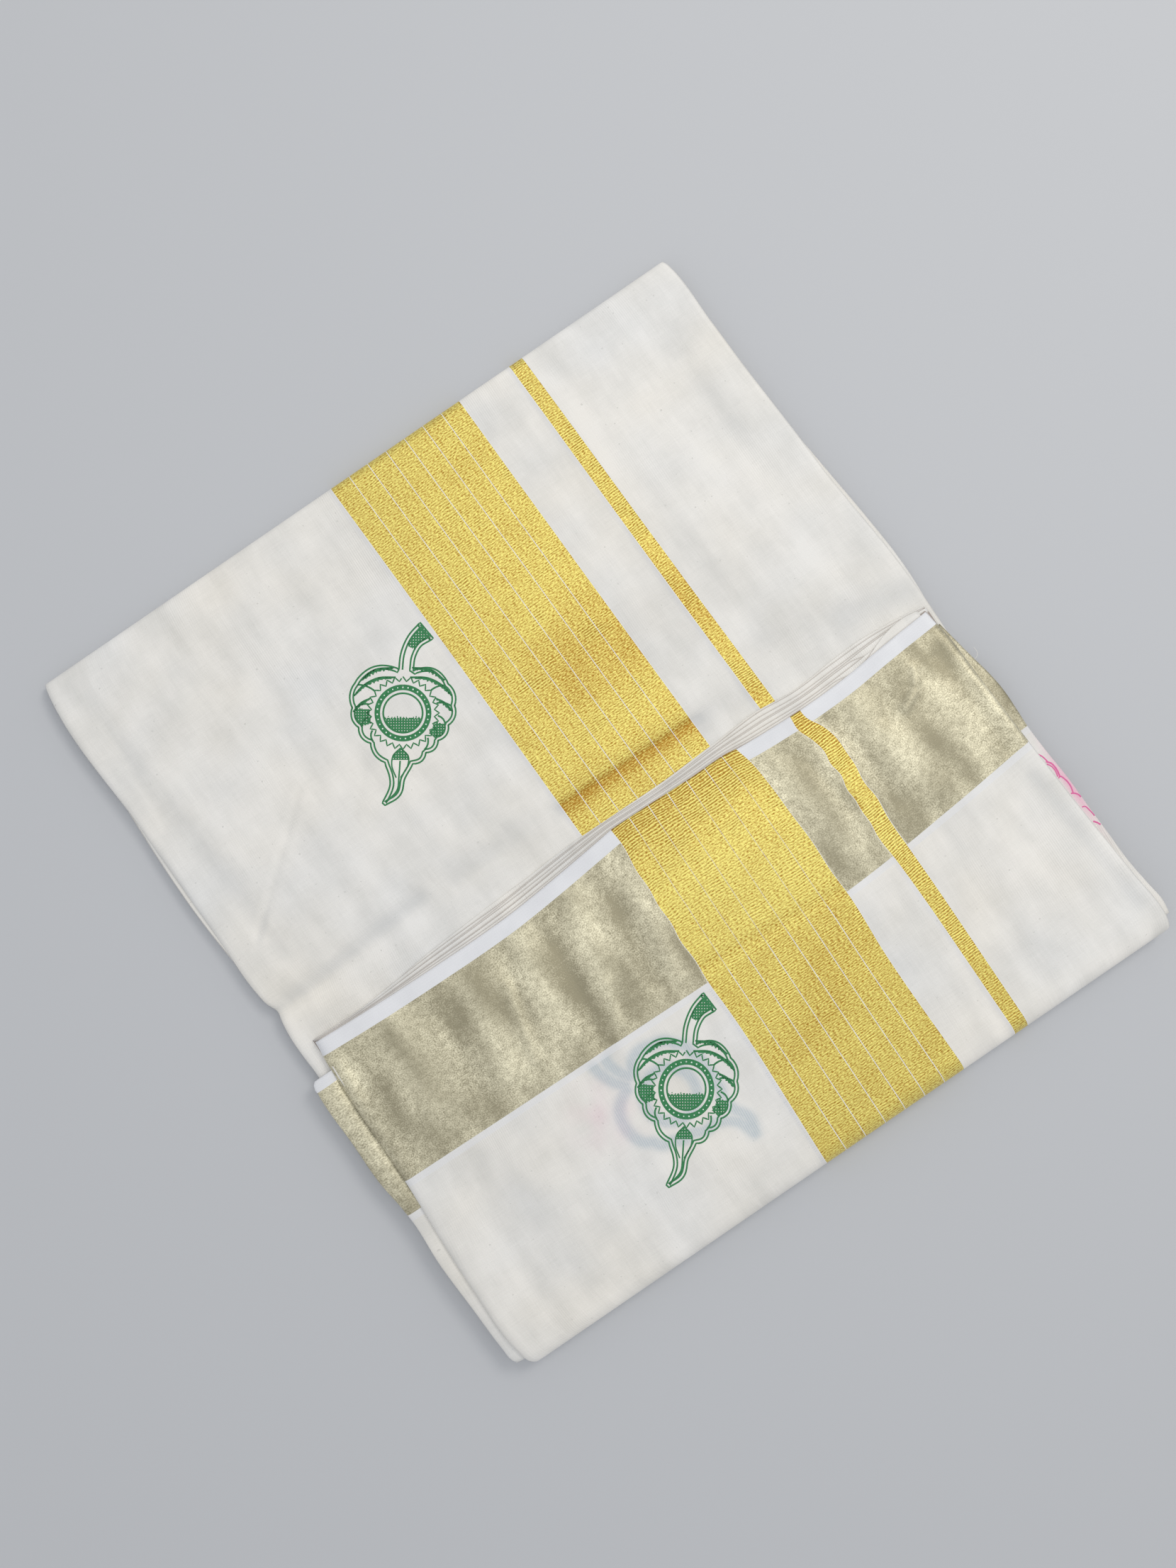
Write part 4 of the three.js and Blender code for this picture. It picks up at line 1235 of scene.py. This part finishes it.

# pulled threads along the flap's gold band, where it meets the white, in the grey of painted shadow
tuft = new_object("tuft", [(-0.1, -0.8, 0), (0.1, -0.8, 0), (0.1, 0.8, 0), (-0.1, 0.8, 0)], [range(4)])
tuft_y = np.linspace(-104, -206, 103)
tufts = mark_path("pulled_threads", np.stack([FLAP_BANDS[0](tuft_y) - 1.3, tuft_y, 0 * tuft_y], 1))
apply_trees(tufts,
            (MARKS, {"Mark": tuft, "Spacing": 1.2 * MM, "Uneven": 0.7, "Seed": 5, "Finish": shaded}),
            (LAY, {"Cloth": front, "Lift": 0.05 * MM, "Finish": shaded}))
on_cloth[front].append(place(tufts, "cotton_cloth"))
bpy.data.objects.remove(tuft)

# the pink print on the right ply, mostly hidden under the flap
PETALS = [  # rows of (path, width of the line)
    ([(190.6, -100.8), (192.0, -103.4), (192.9, -107.2)], 0.7),
    ([(192.0, -106.4), (193.9, -108.8), (194.4, -112.6), (193.6, -116.6)], 0.9),
    ([(191.6, -107.6), (193.0, -109.8), (193.4, -112.8), (192.6, -116.0)], 0.7),
    ([(192.4, -116.8), (193.6, -116.6), (195.0, -119.4), (195.3, -123.4), (194.3, -127.2)], 0.7),
    ([(193.2, -126.6), (194.3, -127.2), (196.0, -129.0), (196.6, -132.6)], 0.7),
    ([(194.0, -135.4), (195.2, -135.8), (196.4, -139.2), (196.9, -143.6)], 0.6),
    ([(194.6, -144.4), (195.8, -146.0), (197.0, -148.4)], 0.8),
]
petals = FlatPrint()
for path, width in PETALS:
    petals.stroke(path_through(path, 0.5), width)
petals = petals.place("pink_print", (0, 0), 0)
apply_trees(petals, (LAY, {"Cloth": right_edge, "Lift": 0.06 * MM, "Finish": pink}))
on_cloth[right_edge].append(place(petals, "cotton_cloth"))


def cut(columns, rows):
    """The flat size of a stretch of cloth from its two ranges in millimetres."""
    return tuple(abs(end - start) * MM for start, end in (columns, rows))


# the upper panel's y counts on round the top fold
cut(UPPER_U, (UPPER_END_Y, 218))
cut(FLAP_U, (0, 219))
cut(UNDER_U, UNDER_Y)
for k, ply in enumerate(plies):
    middle_edge = ply_edge(k, np.linspace(*PLY_ENDS[k], 50)).mean()
    cut(PLY_ENDS[k], (PLY_BACK_Y - 1, middle_edge))
cut((0, 18), LEFT_PLY_Y)
cut((RIGHT_PLY_ROOT, 196.4), RIGHT_PLY_Y)
cut((0, 11), PEEKING_Y)

# ------------------------------------------------------------------ floor, light and camera
floor_material, tree = new_material("pale painted board")
shader = add(tree, "ShaderNodeBsdfPrincipled", {"Base Color": linear("#c3c5c8"), "Roughness": 0.9})
add(tree, "ShaderNodeOutputMaterial", {"Surface": shader})
bpy.ops.mesh.primitive_plane_add(size=8)
floor = bpy.context.object
floor.name = "floor"
floor.data.materials.append(floor_material)

world = bpy.data.worlds.new("studio")
bpy.context.scene.world = world
world.use_nodes = True
world.node_tree.nodes["Background"].inputs[0].default_value = linear("#f2f4f8")
world.node_tree.nodes["Background"].inputs[1].default_value = 0.68
bpy.context.scene.view_settings.view_transform = "Standard"


def area_light(name, where, size, power, colour="#ffffff"):
    """A soft square light that looks at the packet's middle."""
    data = bpy.data.lights.new(name, "AREA")
    data.size = size
    data.energy = power
    data.color = linear(colour)[:3]
    obj = bpy.data.objects.new(name, data)
    obj.location = where
    obj.rotation_euler = (-Vector(where)).to_track_quat("-Z", "Y").to_euler()
    bpy.context.scene.collection.objects.link(obj)


area_light("key", (1.05, 0.35, 1.2), 0.5, 7, "#fffaf2")
area_light("overhead", (0.25, 0.15, 1.45), 1.0, 3.4)

# straight above, and turned as the packet is seen
CAMERA_PLACE = (-3.5 * MM, 14 * MM, 600 * MM)
CAMERA_TURN = -34.44
camera_data = bpy.data.cameras.new("camera")
camera_data.lens = 26
camera_data.sensor_fit = "VERTICAL"
camera_data.sensor_height = 34.6
camera_data.clip_start = 0.02
camera = bpy.data.objects.new("camera", camera_data)
camera.location = CAMERA_PLACE
camera.rotation_euler = (0, 0, math.radians(CAMERA_TURN))
bpy.context.scene.collection.objects.link(camera)
bpy.context.scene.camera = camera
